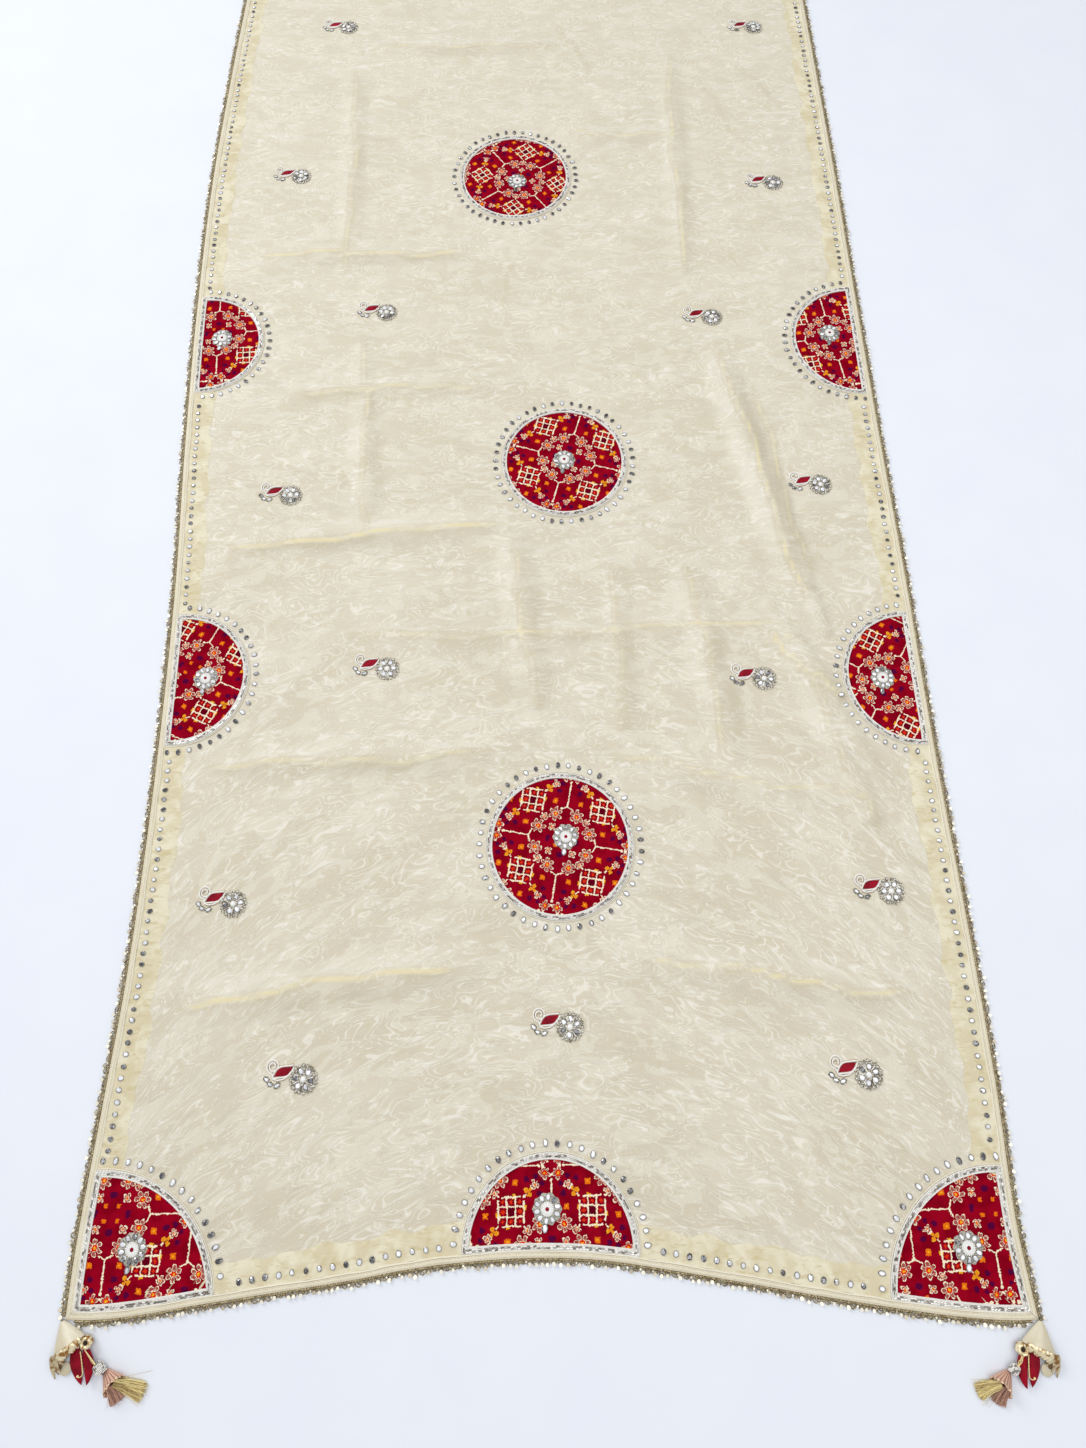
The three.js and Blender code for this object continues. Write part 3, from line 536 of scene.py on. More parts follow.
# the net's rows bow with the pallu edge, less and less over this length
BOW_FADES = 0.42
near = np.clip(1 - places_along / BOW_FADES, 0.0, None)[:, None] ** 2
cloth_x = left_edge(places_along)[:, None] * (1 - shares) + right_edge(places_along)[:, None] * shares
cloth_y = np.minimum(places_along[:, None] + pallu_edge(cloth_x) * near, LENGTH)
cloth_z = lie(cloth_x, cloth_y)
cloth_points = np.stack([cloth_x, cloth_y, cloth_z], axis=-1)
cloth = make_piece(
    "cloth_length",
    cloth_points,
    net(len(places_along), len(shares)),
    silk,
    values={
        "crease": (pressed(cloth_x, cloth_y) * inland(cloth_x, cloth_y)).ravel(),
        "lit": facing_window(cloth_x, cloth_y, cloth_z).ravel(),
    },
)
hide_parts("cloth")

# ---- Hem bands ----
# The edges are turned over onto the face in a band 32 mm wide, which hides the raw edge.
# The turned layer is doubled and so a little yellower, and its stitches pull it into small puckers.
HEM = {"starts": 0.0078, "ends": 0.0398, "rise": 0.0006, "pucker": 0.0005}
CORNERS = {
    "left": (float(left_edge(0.0)), float(pallu_edge(left_edge(0.0)))),
    "right": (float(right_edge(0.0)), float(pallu_edge(right_edge(0.0)))),
}
SIDES = ("left", "pallu", "right")


def along_border(side, share, inset):
    """A place at a share of a border's length, and at an inset from the cloth's edge. Corners are mitred."""
    if side == "pallu":
        x0 = CORNERS["left"][0] + inset
        x1 = CORNERS["right"][0] - inset
        x = x0 + (x1 - x0) * share
        return x, pallu_edge(x) + inset
    corner = CORNERS[side]
    y = corner[1] + inset + (LENGTH - corner[1] - inset) * share
    return (left_edge(y) + inset, y) if side == "left" else (right_edge(y) - inset, y)


def border_length(side):
    return WIDTH if side == "pallu" else LENGTH


def border_shares(side, fine, coarse):
    """Shares along a border: closely spaced where it is worked, and further apart along the plain end."""
    if side == "pallu":
        return np.linspace(0.0, 1.0, int(WIDTH / fine))
    plain_end = np.linspace(WORKED, LENGTH, int(3.2 / coarse))
    return np.concatenate([np.arange(0.0, WORKED, fine), plain_end]) / LENGTH


def border_strip(fine, coarse, profile):
    """The net of a strip along all three borders. profile gives insets and heights for each share."""
    points, faces, marks, count = [], [], [], 0
    for side in SIDES:
        share = border_shares(side, fine, coarse)[:, None]
        inset, height, mark = profile(side, share)
        x, y = along_border(side, share, inset)
        points.append(np.stack([x, y, lie(x, y) + height], axis=-1).reshape(-1, 3))
        marks.append(np.broadcast_to(mark, x.shape).ravel())
        faces.append(net(x.shape[0], x.shape[1], count)[:, :: -1 if side == "left" else 1])
        count += x.size
    return np.concatenate(points), np.concatenate(faces), np.concatenate(marks)


def hem_profile(side, share):
    run = share * border_length(side) + SIDES.index(side) * 3.7
    step = np.linspace(0.0, 1.0, 11)[None, :]
    frayed = 0.0026 * np.sin(run * 61 + 2.0 * np.sin(run * 17)) + 0.0016 * np.sin(run * 143)
    inset = HEM["starts"] + (HEM["ends"] + frayed - HEM["starts"]) * step
    tuck = np.sin(run * 300 + 5.0 * np.sin(run * 41) + 3.0 * np.sin(run * 13) + step * 2.2)
    fade = np.clip(0.5 + 0.5 * np.sin(run * 29 + 2.0 * np.sin(run * 11)), 0.0, 1.0)
    pucker = np.clip(tuck, 0.0, 1.0) ** 2 * fade * np.sin(math.pi * step**0.8)
    height = HEM["rise"] * (1 - step**6) + HEM["pucker"] * pucker + 0.0001
    return inset, height, pucker


turned = Finish("turned_hem", roughness=0.55, metallic=0.0)
turned.wear(sheen_weight=0.2, specular_ior_level=0.3)
place = turned.where()
soft = turned.noise(place, 34.0, detail=3.0, distortion=0.5)
weave = turned.noise(turned.stretch(place, (900.0, 1500.0, 1.0)), 1.0, detail=1.0)
folds = turned.noise(turned.stretch(place, (60.0, 170.0, 1.0)), 1.0, detail=2.0, distortion=1.0)
ground = turned.mix(soft.rises(0.38, 0.62), dye(217, 205, 171), dye(232, 224, 197))
ground = turned.mix(folds.rises(0.54, 0.70) * 0.6, ground, dye(202, 185, 138))
ground = turned.mix((1 - folds).rises(0.60, 0.72) * 0.6, ground, dye(240, 233, 208))
# painted shade: the puckers are painted darker where the stitches gather the turned layer
ground = turned.mix(turned.drawn("mark") * 0.55, ground, dye(202, 185, 136))
ground = turned.mix(weave * 0.12, ground, dye(190, 176, 138))
turned.wear(base_color=ground)
turned.bumps(folds * 0.8 + weave * 0.3 + soft, 0.0004, 0.7)
points, faces, marks = border_strip(0.004, 0.02, hem_profile)
hems = make_piece("hem_bands", points, faces, turned, values={"mark": marks})
hem_nodes = ["hem_left_1", "hem_left_2", "hem_left_3", "hem_right_1", "hem_right_2", "hem_right_3"]
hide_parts(*hem_nodes, "hem_pallu_1", "hem_pallu_2")

# ---- Satin binding ----
# A folded satin strip 8 mm wide is sewn over the edge, with a piped cord caught in along its inner side.
# Two lines of stitches hold it, and its outer side rolls down to the floor.
# inset, height over the cloth's face
BINDING_SECTION = np.array(
    [
        (-0.0007, -0.0011),
        (-0.0008, 0.0002),
        (0.0004, 0.0013),
        (0.0020, 0.0016),
        (0.0038, 0.0016),
        (0.0053, 0.0014),
        (0.0060, 0.0011),
        (0.0065, 0.0020),
        (0.0071, 0.0024),
        (0.0077, 0.0019),
        (0.0081, 0.0004),
    ]
)


def binding_profile(side, share):
    run = share * border_length(side) + SIDES.index(side) * 5.1
    wander = 0.0005 * np.sin(run * 90 + 1.5 * np.sin(run * 23)) + 0.0002 * np.sin(run * 310)
    inset = BINDING_SECTION[:, 0][None, :] + wander * np.clip(BINDING_SECTION[:, 0] / 0.008, 0, 1)[None, :]
    across = BINDING_SECTION[:, 0][None, :] * 1000 + 0 * share
    return inset, BINDING_SECTION[:, 1][None, :] + 0 * share, across


satin = Finish("cream_satin", roughness=0.38, metallic=0.0)
satin.wear(sheen_weight=0.15, specular_ior_level=0.45)
place = satin.where()
across = satin.drawn("mark")
stitch_one = (abs(across - 1.8) < 0.28).at_least(abs(across - 4.7) < 0.28)
thread = satin.noise(satin.stretch(place, (420.0, 420.0, 1.0)), 1.0, detail=0.0)
stitches = stitch_one * thread.rises(0.45, 0.52)
soft = satin.noise(place, 60.0, detail=2.0)
ground = satin.mix(soft, dye(218, 207, 178), dye(234, 225, 201))
ground = satin.mix(stitches * 0.5, ground, dye(176, 160, 122))
ground = satin.mix(across.rises(6.1, 6.8) * 0.55, ground, dye(246, 240, 222))
ground = satin.mix((abs(across - 6.0) < 0.35) * 0.55, ground, dye(178, 158, 114))
satin.wear(base_color=ground)
satin.bumps(soft * 0.7 - stitch_one * 0.5 + thread * 0.15, 0.0003, 0.8)
points, faces, marks = border_strip(0.008, 0.06, binding_profile)
binding = make_piece("satin_binding", points, faces, satin, values={"mark": marks})
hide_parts("binding_left", "binding_right", "binding_pallu")

# ---- Metal lace ----
# A narrow crocheted lace of dull gold thread hangs out past the binding: a twisted cord along the edge,
# small loops beside each other, and a flat silver sequin on each loop's tip.
LACE = {"inset": -0.0020, "pitch": 0.0074, "reach": 0.0052, "cord": 0.0008, "loop": 0.00078}
SEQUIN = {"height": 0.0026, "radius": (0.0018, 0.0024), "small": 0.0013}
# past the worked stretch every other loop is left out
PLAIN_LACE_FROM = 2.45
# Each tassel's cone lies over the lace at its corner, where the lace is cut back.
# the cone's tip from the cloth's corner, and the way that it points
CONE_LIES = {"left": (-0.0032, -0.0018, 0.543, -0.840), "right": (0.0032, -0.0018, -0.389, -0.921)}


def beside_cones(x, y):
    """True where the lace is clear of both cones."""
    clear = np.full(np.shape(x), True)
    for side, (tip_x, tip_y, way_x, way_y) in CONE_LIES.items():
        dx, dy = x - CORNERS[side][0] - tip_x, y - CORNERS[side][1] - tip_y
        along, aside = dx * way_x + dy * way_y, np.abs(dx * way_y - dy * way_x)
        clear &= (along < -0.0030) | (along > 0.036) | (aside > 0.0055 + along * 0.60)
    return clear


class Pile:
    """Many small parts of one finish, gathered into one mesh."""

    def __init__(self):
        self.points, self.faces, self.glints, self.count = [], [], [], 0

    def put(self, points, faces, glint=0.5):
        points = np.asarray(points, dtype=float).reshape(-1, 3)
        faces = np.asarray(faces)
        self.points.append(points)
        self.faces.extend((faces + self.count).tolist())
        glints = np.broadcast_to(np.asarray(glint, dtype=float), (len(faces),))
        self.glints.extend(glints.tolist())
        self.count += len(points)

    def make(self, name, finish, slot, smooth=False):
        points = np.concatenate(self.points)
        return make_piece(name, points, self.faces, finish, smooth=smooth, per_face=self.glints)


def around(count):
    """Evenly spaced turns round a circle."""
    return np.arange(count) * 2 * math.pi / count


def fan(count):
    """The faces that fill a ring of points."""
    return [[0, k, k + 1] for k in range(1, count - 1)]


def tube(line, radius, sides, closed=False):
    """Points and faces of a round cord along a line of points."""
    line = np.asarray(line, dtype=float)
    if closed:
        ahead, behind = np.roll(line, -1, axis=0), np.roll(line, 1, axis=0)
    else:
        ahead, behind = np.vstack([line[1:], line[-1:]]), np.vstack([line[:1], line[:-1]])
    direction = ahead - behind
    direction /= np.linalg.norm(direction, axis=1, keepdims=True) + 1e-12
    side = np.cross(direction, np.array([0.0, 0.0, 1.0]))
    side /= np.linalg.norm(side, axis=1, keepdims=True) + 1e-9
    up = np.cross(side, direction)
    radii = np.broadcast_to(np.asarray(radius, dtype=float), (len(line),))[:, None, None]
    turns = around(sides)
    spokes = side[:, None, :] * np.cos(turns)[None, :, None] + up[:, None, :] * np.sin(turns)[None, :, None]
    points = line[:, None, :] + spokes * radii
    rows = len(line)
    k = np.arange(rows if closed else rows - 1)[:, None]
    j = np.arange(sides)[None, :]
    here, there = k * sides, ((k + 1) % rows) * sides
    faces = np.stack([here + j, here + (j + 1) % sides, there + (j + 1) % sides, there + j], axis=-1)
    return points.reshape(-1, 3), faces.reshape(-1, 4)


def disc(x, y, z, radius, sides, tilt_x, tilt_y):
    turns = around(sides)
    dx, dy = radius * np.cos(turns), radius * np.sin(turns)
    rim = np.stack([x + dx, y + dy, z + dx * tilt_x + dy * tilt_y], axis=-1)
    return rim, fan(sides)


def border_walk(side, pitch, inset):
    """Evenly spaced places along a border, with the direction out of the cloth at each."""
    share = np.linspace(0.0, 1.0, 4000)
    x, y = along_border(side, share, inset)
    run = np.concatenate([[0.0], np.cumsum(np.hypot(np.diff(x), np.diff(y)))])
    count = int(run[-1] / pitch)
    stops = (np.arange(count) + 0.5) * run[-1] / count
    px, py = np.interp(stops, run, x), np.interp(stops, run, y)
    dx = np.interp(stops + 0.002, run, x) - np.interp(stops - 0.002, run, x)
    dy = np.interp(stops + 0.002, run, y) - np.interp(stops - 0.002, run, y)
    size = np.hypot(dx, dy)
    turn = {"left": (-1, 1), "right": (1, -1), "pallu": (1, -1)}[side]
    return px, py, turn[0] * dy / size, turn[1] * dx / size


gilt = Finish("dull_gold_thread", roughness=0.34, metallic=0.75)
place = gilt.where()
# the fine strands are painted between dark brown and pale gold: the thread's own tone with painted highlights
# and shade
strands_and_highlights = gilt.noise(gilt.stretch(place, (1100.0, 1100.0, 900.0)), 1.0, detail=2.0)
tarnish = gilt.noise(place, 140.0, detail=2.0)
ground = gilt.mix(strands_and_highlights.rises(0.42, 0.60), dye(96, 78, 48), dye(222, 206, 164))
ground = gilt.mix(tarnish.rises(0.48, 0.66) * 0.55, ground, dye(120, 98, 60))
gilt.wear(base_color=ground, roughness=0.3 + tarnish * 0.25, metallic=0.45)
gilt.bumps(strands_and_highlights, 0.0004, 1.0)

mirror = Finish("cut_mirror", roughness=0.12, metallic=0.85)
# painted reflection: each facet is painted from dark grey to white by its kept value, in place of what it
# would mirror
glint = mirror.drawn("glint")
cloudy = mirror.noise(mirror.where(), 700.0, detail=1.0)
ground = mirror.mix(glint.rises(0.05, 0.80), dye(66, 64, 66), dye(250, 251, 255))
ground = mirror.mix(cloudy * 0.2, ground, dye(172, 170, 170))
mirror.wear(base_color=ground, roughness=0.10 + cloudy * 0.2, metallic=0.72 - glint * 0.42)

sequin = Finish("gilt_sequin", roughness=0.25, metallic=0.2)
# painted glints: each sequin is painted from dull gold to near white by its kept value
glint = sequin.drawn("glint")
sequin.wear(base_color=sequin.mix(glint.rises(0.05, 0.80), dye(150, 126, 84), dye(250, 243, 224)))

# the heading, a flat crocheted band beside the binding: inset, height
HEADING = [
    (-0.0002, 0.0006),
    (-0.0009, 0.0017),
    (-0.0021, 0.0019),
    (-0.0031, 0.0015),
    (-0.0036, 0.0003),
]


def crochet_heading(thread, side, share, kept):
    """The band beside the binding, rippled by its stitches."""
    run = share * LENGTH
    section = []
    for inset, height in HEADING:
        ripple = 0.0004 * np.sin(run * 1500.0 + inset * 3000.0) + 0.0002 * np.sin(run * 510.0)
        x, y = along_border(side, share, inset - (ripple if inset < -0.003 else 0.0))
        z = height + 0.0004 * np.sin(run * 2100.0 + inset * 2500.0) * (height > 0.001)
        section.append(np.stack([x, y, z], axis=-1)[kept])
    thread.put(np.stack(section, axis=1), net(int(kept.sum()), len(HEADING)))


def crochet_loop(thread, sequins, n, x, y, out_x, out_y, plain):
    """Loop number n, out from a place on the heading, with a smaller loop beside it and its sequins."""
    reach = LACE["reach"] * (1 + 0.14 * math.sin(n * 1.3) + random.uniform(-0.16, 0.16))
    ax, ay = -out_y, out_x
    half = LACE["pitch"] * random.uniform(0.44, 0.60) * (1.7 if plain else 1.0)
    turns = np.linspace(-0.12, math.pi + 0.12, 5 if plain else 7)
    lean = random.uniform(-0.35, 0.35) * half
    out = np.sin(turns) * reach
    aside = np.cos(turns) * half * (0.8 + 0.35 * np.sin(turns)) + lean * np.sin(turns)
    lift = 0.0012 + 0.0007 * np.sin(turns * 2 + n)
    loop = np.stack([x + out_x * out + ax * aside, y + out_y * out + ay * aside, lift], axis=-1)
    thread.put(*tube(loop, LACE["loop"], 4))
    if not plain:
        inner = loop.copy()
        inner[:, 0] -= out_x * out * 0.45 - ax * half * 0.45
        inner[:, 1] -= out_y * out * 0.45 - ay * half * 0.45
        thread.put(*tube(inner, LACE["loop"] * 0.85, 4))
    tip = reach * random.uniform(0.80, 1.05)
    tilt = (random.uniform(-0.3, 0.3), random.uniform(-0.3, 0.3))
    spot = (x + out_x * tip + ax * lean, y + out_y * tip + ay * lean, SEQUIN["height"])
    if n % 2 == 0 or random.random() < 0.35:
        # painted glint for this sequin
        glint_here = random.choice((0.4, 0.7, 0.9, 1.0, 1.0))
        sequins.put(*disc(*spot, random.uniform(*SEQUIN["radius"]), 8, *tilt), glint_here)
    elif not plain:
        low = reach * 0.4
        spot = (x + out_x * low + ax * half, y + out_y * low + ay * half, SEQUIN["height"])
        sequins.put(*disc(*spot, SEQUIN["small"], 6, *tilt), random.random())


for side in SIDES:
    thread, sequins = Pile(), Pile()
    share = border_shares(side, 0.0020, 0.03)
    kept = beside_cones(*along_border(side, share, LACE["inset"]))
    crochet_heading(thread, side, share, kept)
    px, py, ox, oy = border_walk(side, LACE["pitch"], LACE["inset"])
    for n in np.flatnonzero(beside_cones(px + ox * 0.003, py + oy * 0.003)):
        plain = py[n] > PLAIN_LACE_FROM
        if not (plain and n % 2):
            crochet_loop(thread, sequins, n, px[n], py[n], ox[n], oy[n], plain)
    for strand in (0.0, math.pi):
        x, y = along_border(side, share, -0.0014 + 0.0006 * np.cos(share * 2600 + strand))
        z = 0.0022 + 0.0005 * np.sin(share * 2600 + strand)
        thread.put(*tube(np.stack([x, y, z], axis=-1)[kept], LACE["cord"], 4))
    lace = thread.make("lace_thread_" + side, gilt, "lace", smooth=True)
    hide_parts("lace_" + side)
    sequins.make("lace_sequins_" + side, sequin, "mirror_work")

# ---- Border mirrors ----
# A row of small cut mirrors is sewn along each hem band, 17 mm in from the edge. Each is an oval stone in
# a thin silver cup. The row stops where a medallion's own ring of mirrors begins.
STONE_ROW = {"inset": 0.0170, "pitch": {"left": 0.0135, "right": 0.0135, "pallu": 0.0155}}
# name, across, along, radius of the print, mirror flower across, along, pattern across, along, turn
MEDALLIONS = [
    ("medallion_centre_1", 0.0215, 0.5425, 0.0925, 0.0294, 0.5528, 0.0240, 0.5480, 34.0),
    ("medallion_centre_2", 0.0440, 1.1480, 0.0915, 0.0440, 1.1500, 0.0480, 1.1530, 28.0),
    ("medallion_centre_3", -0.0280, 1.7500, 0.0925, -0.0243, 1.7391, -0.0200, 1.7430, -10.0),
    ("medallion_left_1", -0.5240, 0.7930, 0.0935, -0.4846, 0.7920, -0.5050, 0.8060, 20.0),
    ("medallion_left_2", -0.5510, 1.3890, 0.0905, -0.5223, 1.3988, -0.5300, 1.4100, 48.0),
    ("medallion_right_1", 0.5410, 0.7750, 0.0955, 0.4941, 0.7736, 0.5020, 0.7660, 14.0),
    ("medallion_right_2", 0.5410, 1.3760, 0.1025, 0.4966, 1.3889, 0.5000, 1.3800, 52.0),
    ("medallion_corner_left", -0.5410, 0.0150, 0.1400, -0.4939, 0.0789, -0.5240, 0.1160, 44.0),
    ("medallion_corner_right", 0.5330, 0.0040, 0.1350, 0.4889, 0.0609, 0.5200, 0.1020, 46.0),
    ("medallion_pallu", -0.0020, 0.0660, 0.0975, -0.0054, 0.1107, 0.0000, 0.0600, 45.0),
]
RING_GAP = 0.0175
RING_PITCH = 0.0152


def wrapped(rows, columns):
    """The faces of a net that closes on itself sideways."""
    k = np.arange(columns)[None, :]
    r = np.arange(rows - 1)[:, None] * columns
    following = (k + 1) % columns
    return np.stack([r + k, r + following, r + columns + following, r + columns + k], -1).reshape(-1, 4)


def clear_of_medallions(x, y, gap):
    return all(math.hypot(x - m[1], y - m[2]) > m[3] + gap for m in MEDALLIONS)


# how bright each cut mirror's painted reflection may be, from 0 to 1
MIXED_TONES = (0.12, 0.3, 0.6, 0.85, 0.95, 1.0)


def stone(pile, cup, x, y, base, long_half, short_half, turn, tall=0.0016, tones=MIXED_TONES):
    """One cut mirror in its cup: a slanted eight-sided crown around a flat top."""
    sides = 8
    turns = around(sides) + 0.3
    cos_turn, sin_turn = math.cos(turn), math.sin(turn)
    lean_x, lean_y = random.uniform(-0.14, 0.14), random.uniform(-0.14, 0.14)

    def ring(scale, height):
        u = long_half * scale * np.cos(turns)
        v = short_half * scale * np.sin(turns)
        dx, dy = u * cos_turn - v * sin_turn, u * sin_turn + v * cos_turn
        return np.stack([x + dx, y + dy, base + height + dx * lean_x + dy * lean_y], axis=-1)

    # painted reflection: a mean brightness for the stone, and each facet's own brightness round it
    mean = random.choice(tones)
    crown = np.vstack([ring(0.82, tall * 0.55), ring(0.5, tall)])
    faces = [[k, (k + 1) % sides, sides + (k + 1) % sides] for k in range(sides)]
    faces += [[k, sides + (k + 1) % sides, sides + k] for k in range(sides)]
    faces += [[sides, sides + k, sides + k + 1] for k in range(1, sides - 1)]
    facet = [min(1.0, max(0.0, mean + random.uniform(-0.45, 0.3))) for _ in range(sides)]
    pile.put(crown, faces, facet + facet + [mean] * (sides - 2))
    outer, inner = ring(0.99, tall * 0.5), ring(0.82, tall * 0.62)
    wall = np.vstack([ring(1.0, -0.0004), outer, inner, ring(0.8, tall * 0.3)])
    cup.put(wall, wrapped(4, sides), 0.5)


def flecked(name, roughness, metallic, noise, rise, dark, light, bump):
    """A finish flecked between two dyes by one fine noise, which raises it a little too."""
    finish = Finish(name, roughness=roughness, metallic=metallic)
    fleck = finish.noise(finish.where(), noise[0], detail=noise[1])
    finish.wear(base_color=finish.mix(fleck.rises(*rise), dye(*dark), dye(*light)))
    finish.bumps(fleck, *bump)
    return finish


silver = flecked(
    "silver_cup", 0.3, 0.8, (900.0, 2.0), (0.35, 0.65), (84, 80, 74), (170, 166, 158), (0.0002, 0.8)
)

border_stones, border_cups = Pile(), Pile()
for side in SIDES:
    px, py, ox, oy = border_walk(side, STONE_ROW["pitch"][side], STONE_ROW["inset"])
    for n in range(len(px)):
        if not clear_of_medallions(px[n], py[n], RING_GAP + 0.006):
            continue
        turn = math.atan2(oy[n], ox[n]) + random.uniform(-0.35, 0.35)
        wide = 0.0037 * random.uniform(0.9, 1.1)
        x, y = px[n] + random.uniform(-0.0006, 0.0006), py[n] + random.uniform(-0.0006, 0.0006)
        base = float(lie(x, y)) + 0.0009
        stone(border_stones, border_cups, x, y, base, wide, wide * 0.86, turn)
border_stones.make("border_mirrors", mirror, "mirror_work")
border_cups.make("border_mirror_cups", silver, "mirror_work")

# ---- Print medallions ----
# Discs of crimson silk, resist-dyed with the small flowers, lattices and stems of patola cloth, are sewn on.
# Those on an edge are cut along the binding. The print repeats every 137 mm, and each disc is cut from it at
# a turn of its own.
REPEAT = 137.0
RIM = 0.0078
TAPE_FROM_EDGE = 0.0072
PRINT_NET = (20, 97)


def hold_in(x, y, inset):
    """Moves places that lie beyond an inset from the cloth's edges back onto that line."""
    x = np.minimum(np.maximum(x, left_edge(y) + inset), right_edge(y) - inset)
    return x, np.maximum(y, pallu_edge(x) + inset)


patola = Finish("patola_silk", roughness=0.8, metallic=0.0)
patola.wear(specular_ior_level=0.0)
chart = patola.drawn("chart", out=1)
fuzz = patola.noise(chart, 0.16, detail=2.0, out=1)
steps = patola.noise(chart, 0.55, detail=0.0, out=1)
wobbled = patola.shift(chart, patola.stretch(patola.shift(fuzz, (-0.5, -0.5, -0.5)), (4.0, 4.0, 0.0)))
wobbled = patola.shift(wobbled, patola.stretch(patola.shift(steps, (-0.5, -0.5, -0.5)), (2.2, 2.2, 0.0)))
u = patola.add("ShaderNodeSeparateXYZ", {}, [wobbled], out=0)
v = patola.add("ShaderNodeSeparateXYZ", {}, [wobbled], out=1)


def folded(value):
    """Folds a place into half a repeat, so that each mark is drawn once and shows in every quarter."""
    return patola.add("ShaderNodeMath", {"operation": "PINGPONG"}, [value, REPEAT / 2])


# the larger and the smaller of the two folded places, so that each mark shows again across the diagonal
fu, fv = folded(u), folded(v)
m, n = fu.at_least(fv), fu.at_most(fv)


def away(x, y):
    """Distance in the chart from a place at x, y in millimetres."""
    dx, dy = m - x, n - y
    return (dx * dx + dy * dy).root()


def line_mark(x0, y0, x1, y1, half_line):
    """A straight resist-dyed line between two places in the chart."""
    length = math.hypot(x1 - x0, y1 - y0)
    ex, ey = (x1 - x0) / length, (y1 - y0) / length
    along = (m - x0) * ex + (n - y0) * ey
    aside = abs((m - x0) * ey - (n - y0) * ex)
    return (aside < half_line) * (abs(along - length / 2) < length / 2)


def flower_mark(x, y, petals, heart, tip, turn):
    """Rounded petals round a heart: the whole petals, and the fainter middle of each."""
    dx, dy = m - x, n - y
    angle = patola.add("ShaderNodeMath", {"operation": "ARCTAN2"}, [dy, dx])
    lobes = ((angle + turn) * petals).sine()
    far = (dx * dx + dy * dy).root()
    fullness = ((lobes + 0.78) * 0.56).root().root()
    edge = fullness * (tip - heart) + heart
    whole = (far < edge) * (far > heart) * (lobes > -0.78)
    inside = (far < edge - 1.1) * (far > heart + 0.9) * (lobes > -0.34)
    return whole, inside


half = REPEAT / 2
ground_noise = patola.noise(chart, 0.05, detail=3.0)
threads = patola.noise(patola.stretch(chart, (1.2, 9.0, 1.0)), 1.0, detail=2.0)
red = patola.mix(ground_noise.rises(0.35, 0.65), dye(126, 3, 24), dye(152, 6, 31))
red = patola.mix(threads.rises(0.5, 0.75) * 0.35, red, dye(110, 2, 20))
cream, blush = dye(246, 232, 200), dye(148, 10, 32)
orange, yellow = dye(230, 112, 18), dye(236, 172, 42)
plum, maroon = dye(62, 8, 58), dye(84, 0, 24)

# lattice: nine small squares set cornerwise, with a dark middle one and orange hearts in the rest
lx, ly = (m - half + n) * 0.7071, (n - m + half) * 0.7071
out_x, out_y = abs(lx), abs(ly)
in_lattice = out_x.at_least(out_y) < 16.2
bars_one_way = (abs(out_x - 5.2) < 0.85) + (abs(out_x - 15.3) < 0.9)
bars_other_way = (abs(out_y - 5.2) < 0.85) + (abs(out_y - 15.3) < 0.9)
bars = (bars_one_way + bars_other_way) > 0.5
corner_gap = 1 - ((out_x > 11.5) * (out_y > 11.5))
lattice = in_lattice * bars * corner_gap
lattice_heart = (out_x < 4.3) * (out_y < 4.3)
side_hearts = (abs(out_x - 10.2) + out_y < 2.6).at_least(abs(out_y - 10.2) + out_x < 2.6)
side_hearts = side_hearts.at_least(abs(out_x - 10.2) + abs(out_y - 10.2) < 2.4)
tails = line_mark(half - 21.0, 0.0, half - 27.0, 0.0, 0.9).at_least(line_mark(half, 21.0, half, 26.0, 0.9))

# the flowers' places in the chart
FLOWER_AT = (35.1, 14.5)
BLOSSOM_AT = (23.0, 0.0)
CROSS_AT = (41.0, 0.0)
END_CROSS_AT = (half, 40.0)
RIM_FLOWER_AT = (half, 57.0)
flowers, flower_insides = flower_mark(*FLOWER_AT, petals=6.0, heart=3.2, tip=9.9, turn=0.5)
blossoms, blossom_insides = flower_mark(*BLOSSOM_AT, petals=4.0, heart=1.4, tip=5.4, turn=0.4)
crosses, cross_insides = flower_mark(*CROSS_AT, petals=4.0, heart=1.3, tip=5.6, turn=0.8)
end_crosses, end_insides = flower_mark(*END_CROSS_AT, petals=4.0, heart=1.4, tip=5.6, turn=0.8)
rim_flowers, rim_insides = flower_mark(*RIM_FLOWER_AT, petals=5.0, heart=2.2, tip=7.4, turn=0.2)
from_seed = away(*FLOWER_AT).at_most(away(*RIM_FLOWER_AT))
seeds = from_seed < 3.3
seed_dots = from_seed < 1.5
small_hearts = (away(*BLOSSOM_AT) < 1.5).at_least(away(*CROSS_AT) < 1.4).at_least(away(*END_CROSS_AT) < 1.4)
stems = line_mark(33.0, 33.0, 59.0, 59.0, 0.85).at_least(line_mark(33.4, 33.0, 36.4, 24.0, 0.85))
knots = (away(57.5, 57.5) < 2.0).at_least(away(61.5, 61.5) < 1.6)
from_dot = abs(m - 50.0) + abs(n - 25.0)
orange_dots = (from_dot < 4.6).at_least(abs(m - 11.0) + n < 3.0)
orange_hearts = from_dot < 1.5
yellow_flowers, yellow_insides = flower_mark(half, 29.5, petals=3.0, heart=0.0, tip=6.0, turn=1.2)
yellow_flowers = yellow_flowers.at_least(abs(m - 60.0) + abs(n - 14.0) < 3.4)
blotches = (away(15.0, 13.0) < 3.2).at_least(away(57.5, 37.5) < 3.4).at_least(away(63.0, 47.0) < 2.8)
blotches = blotches * threads.rises(0.28, 0.46)

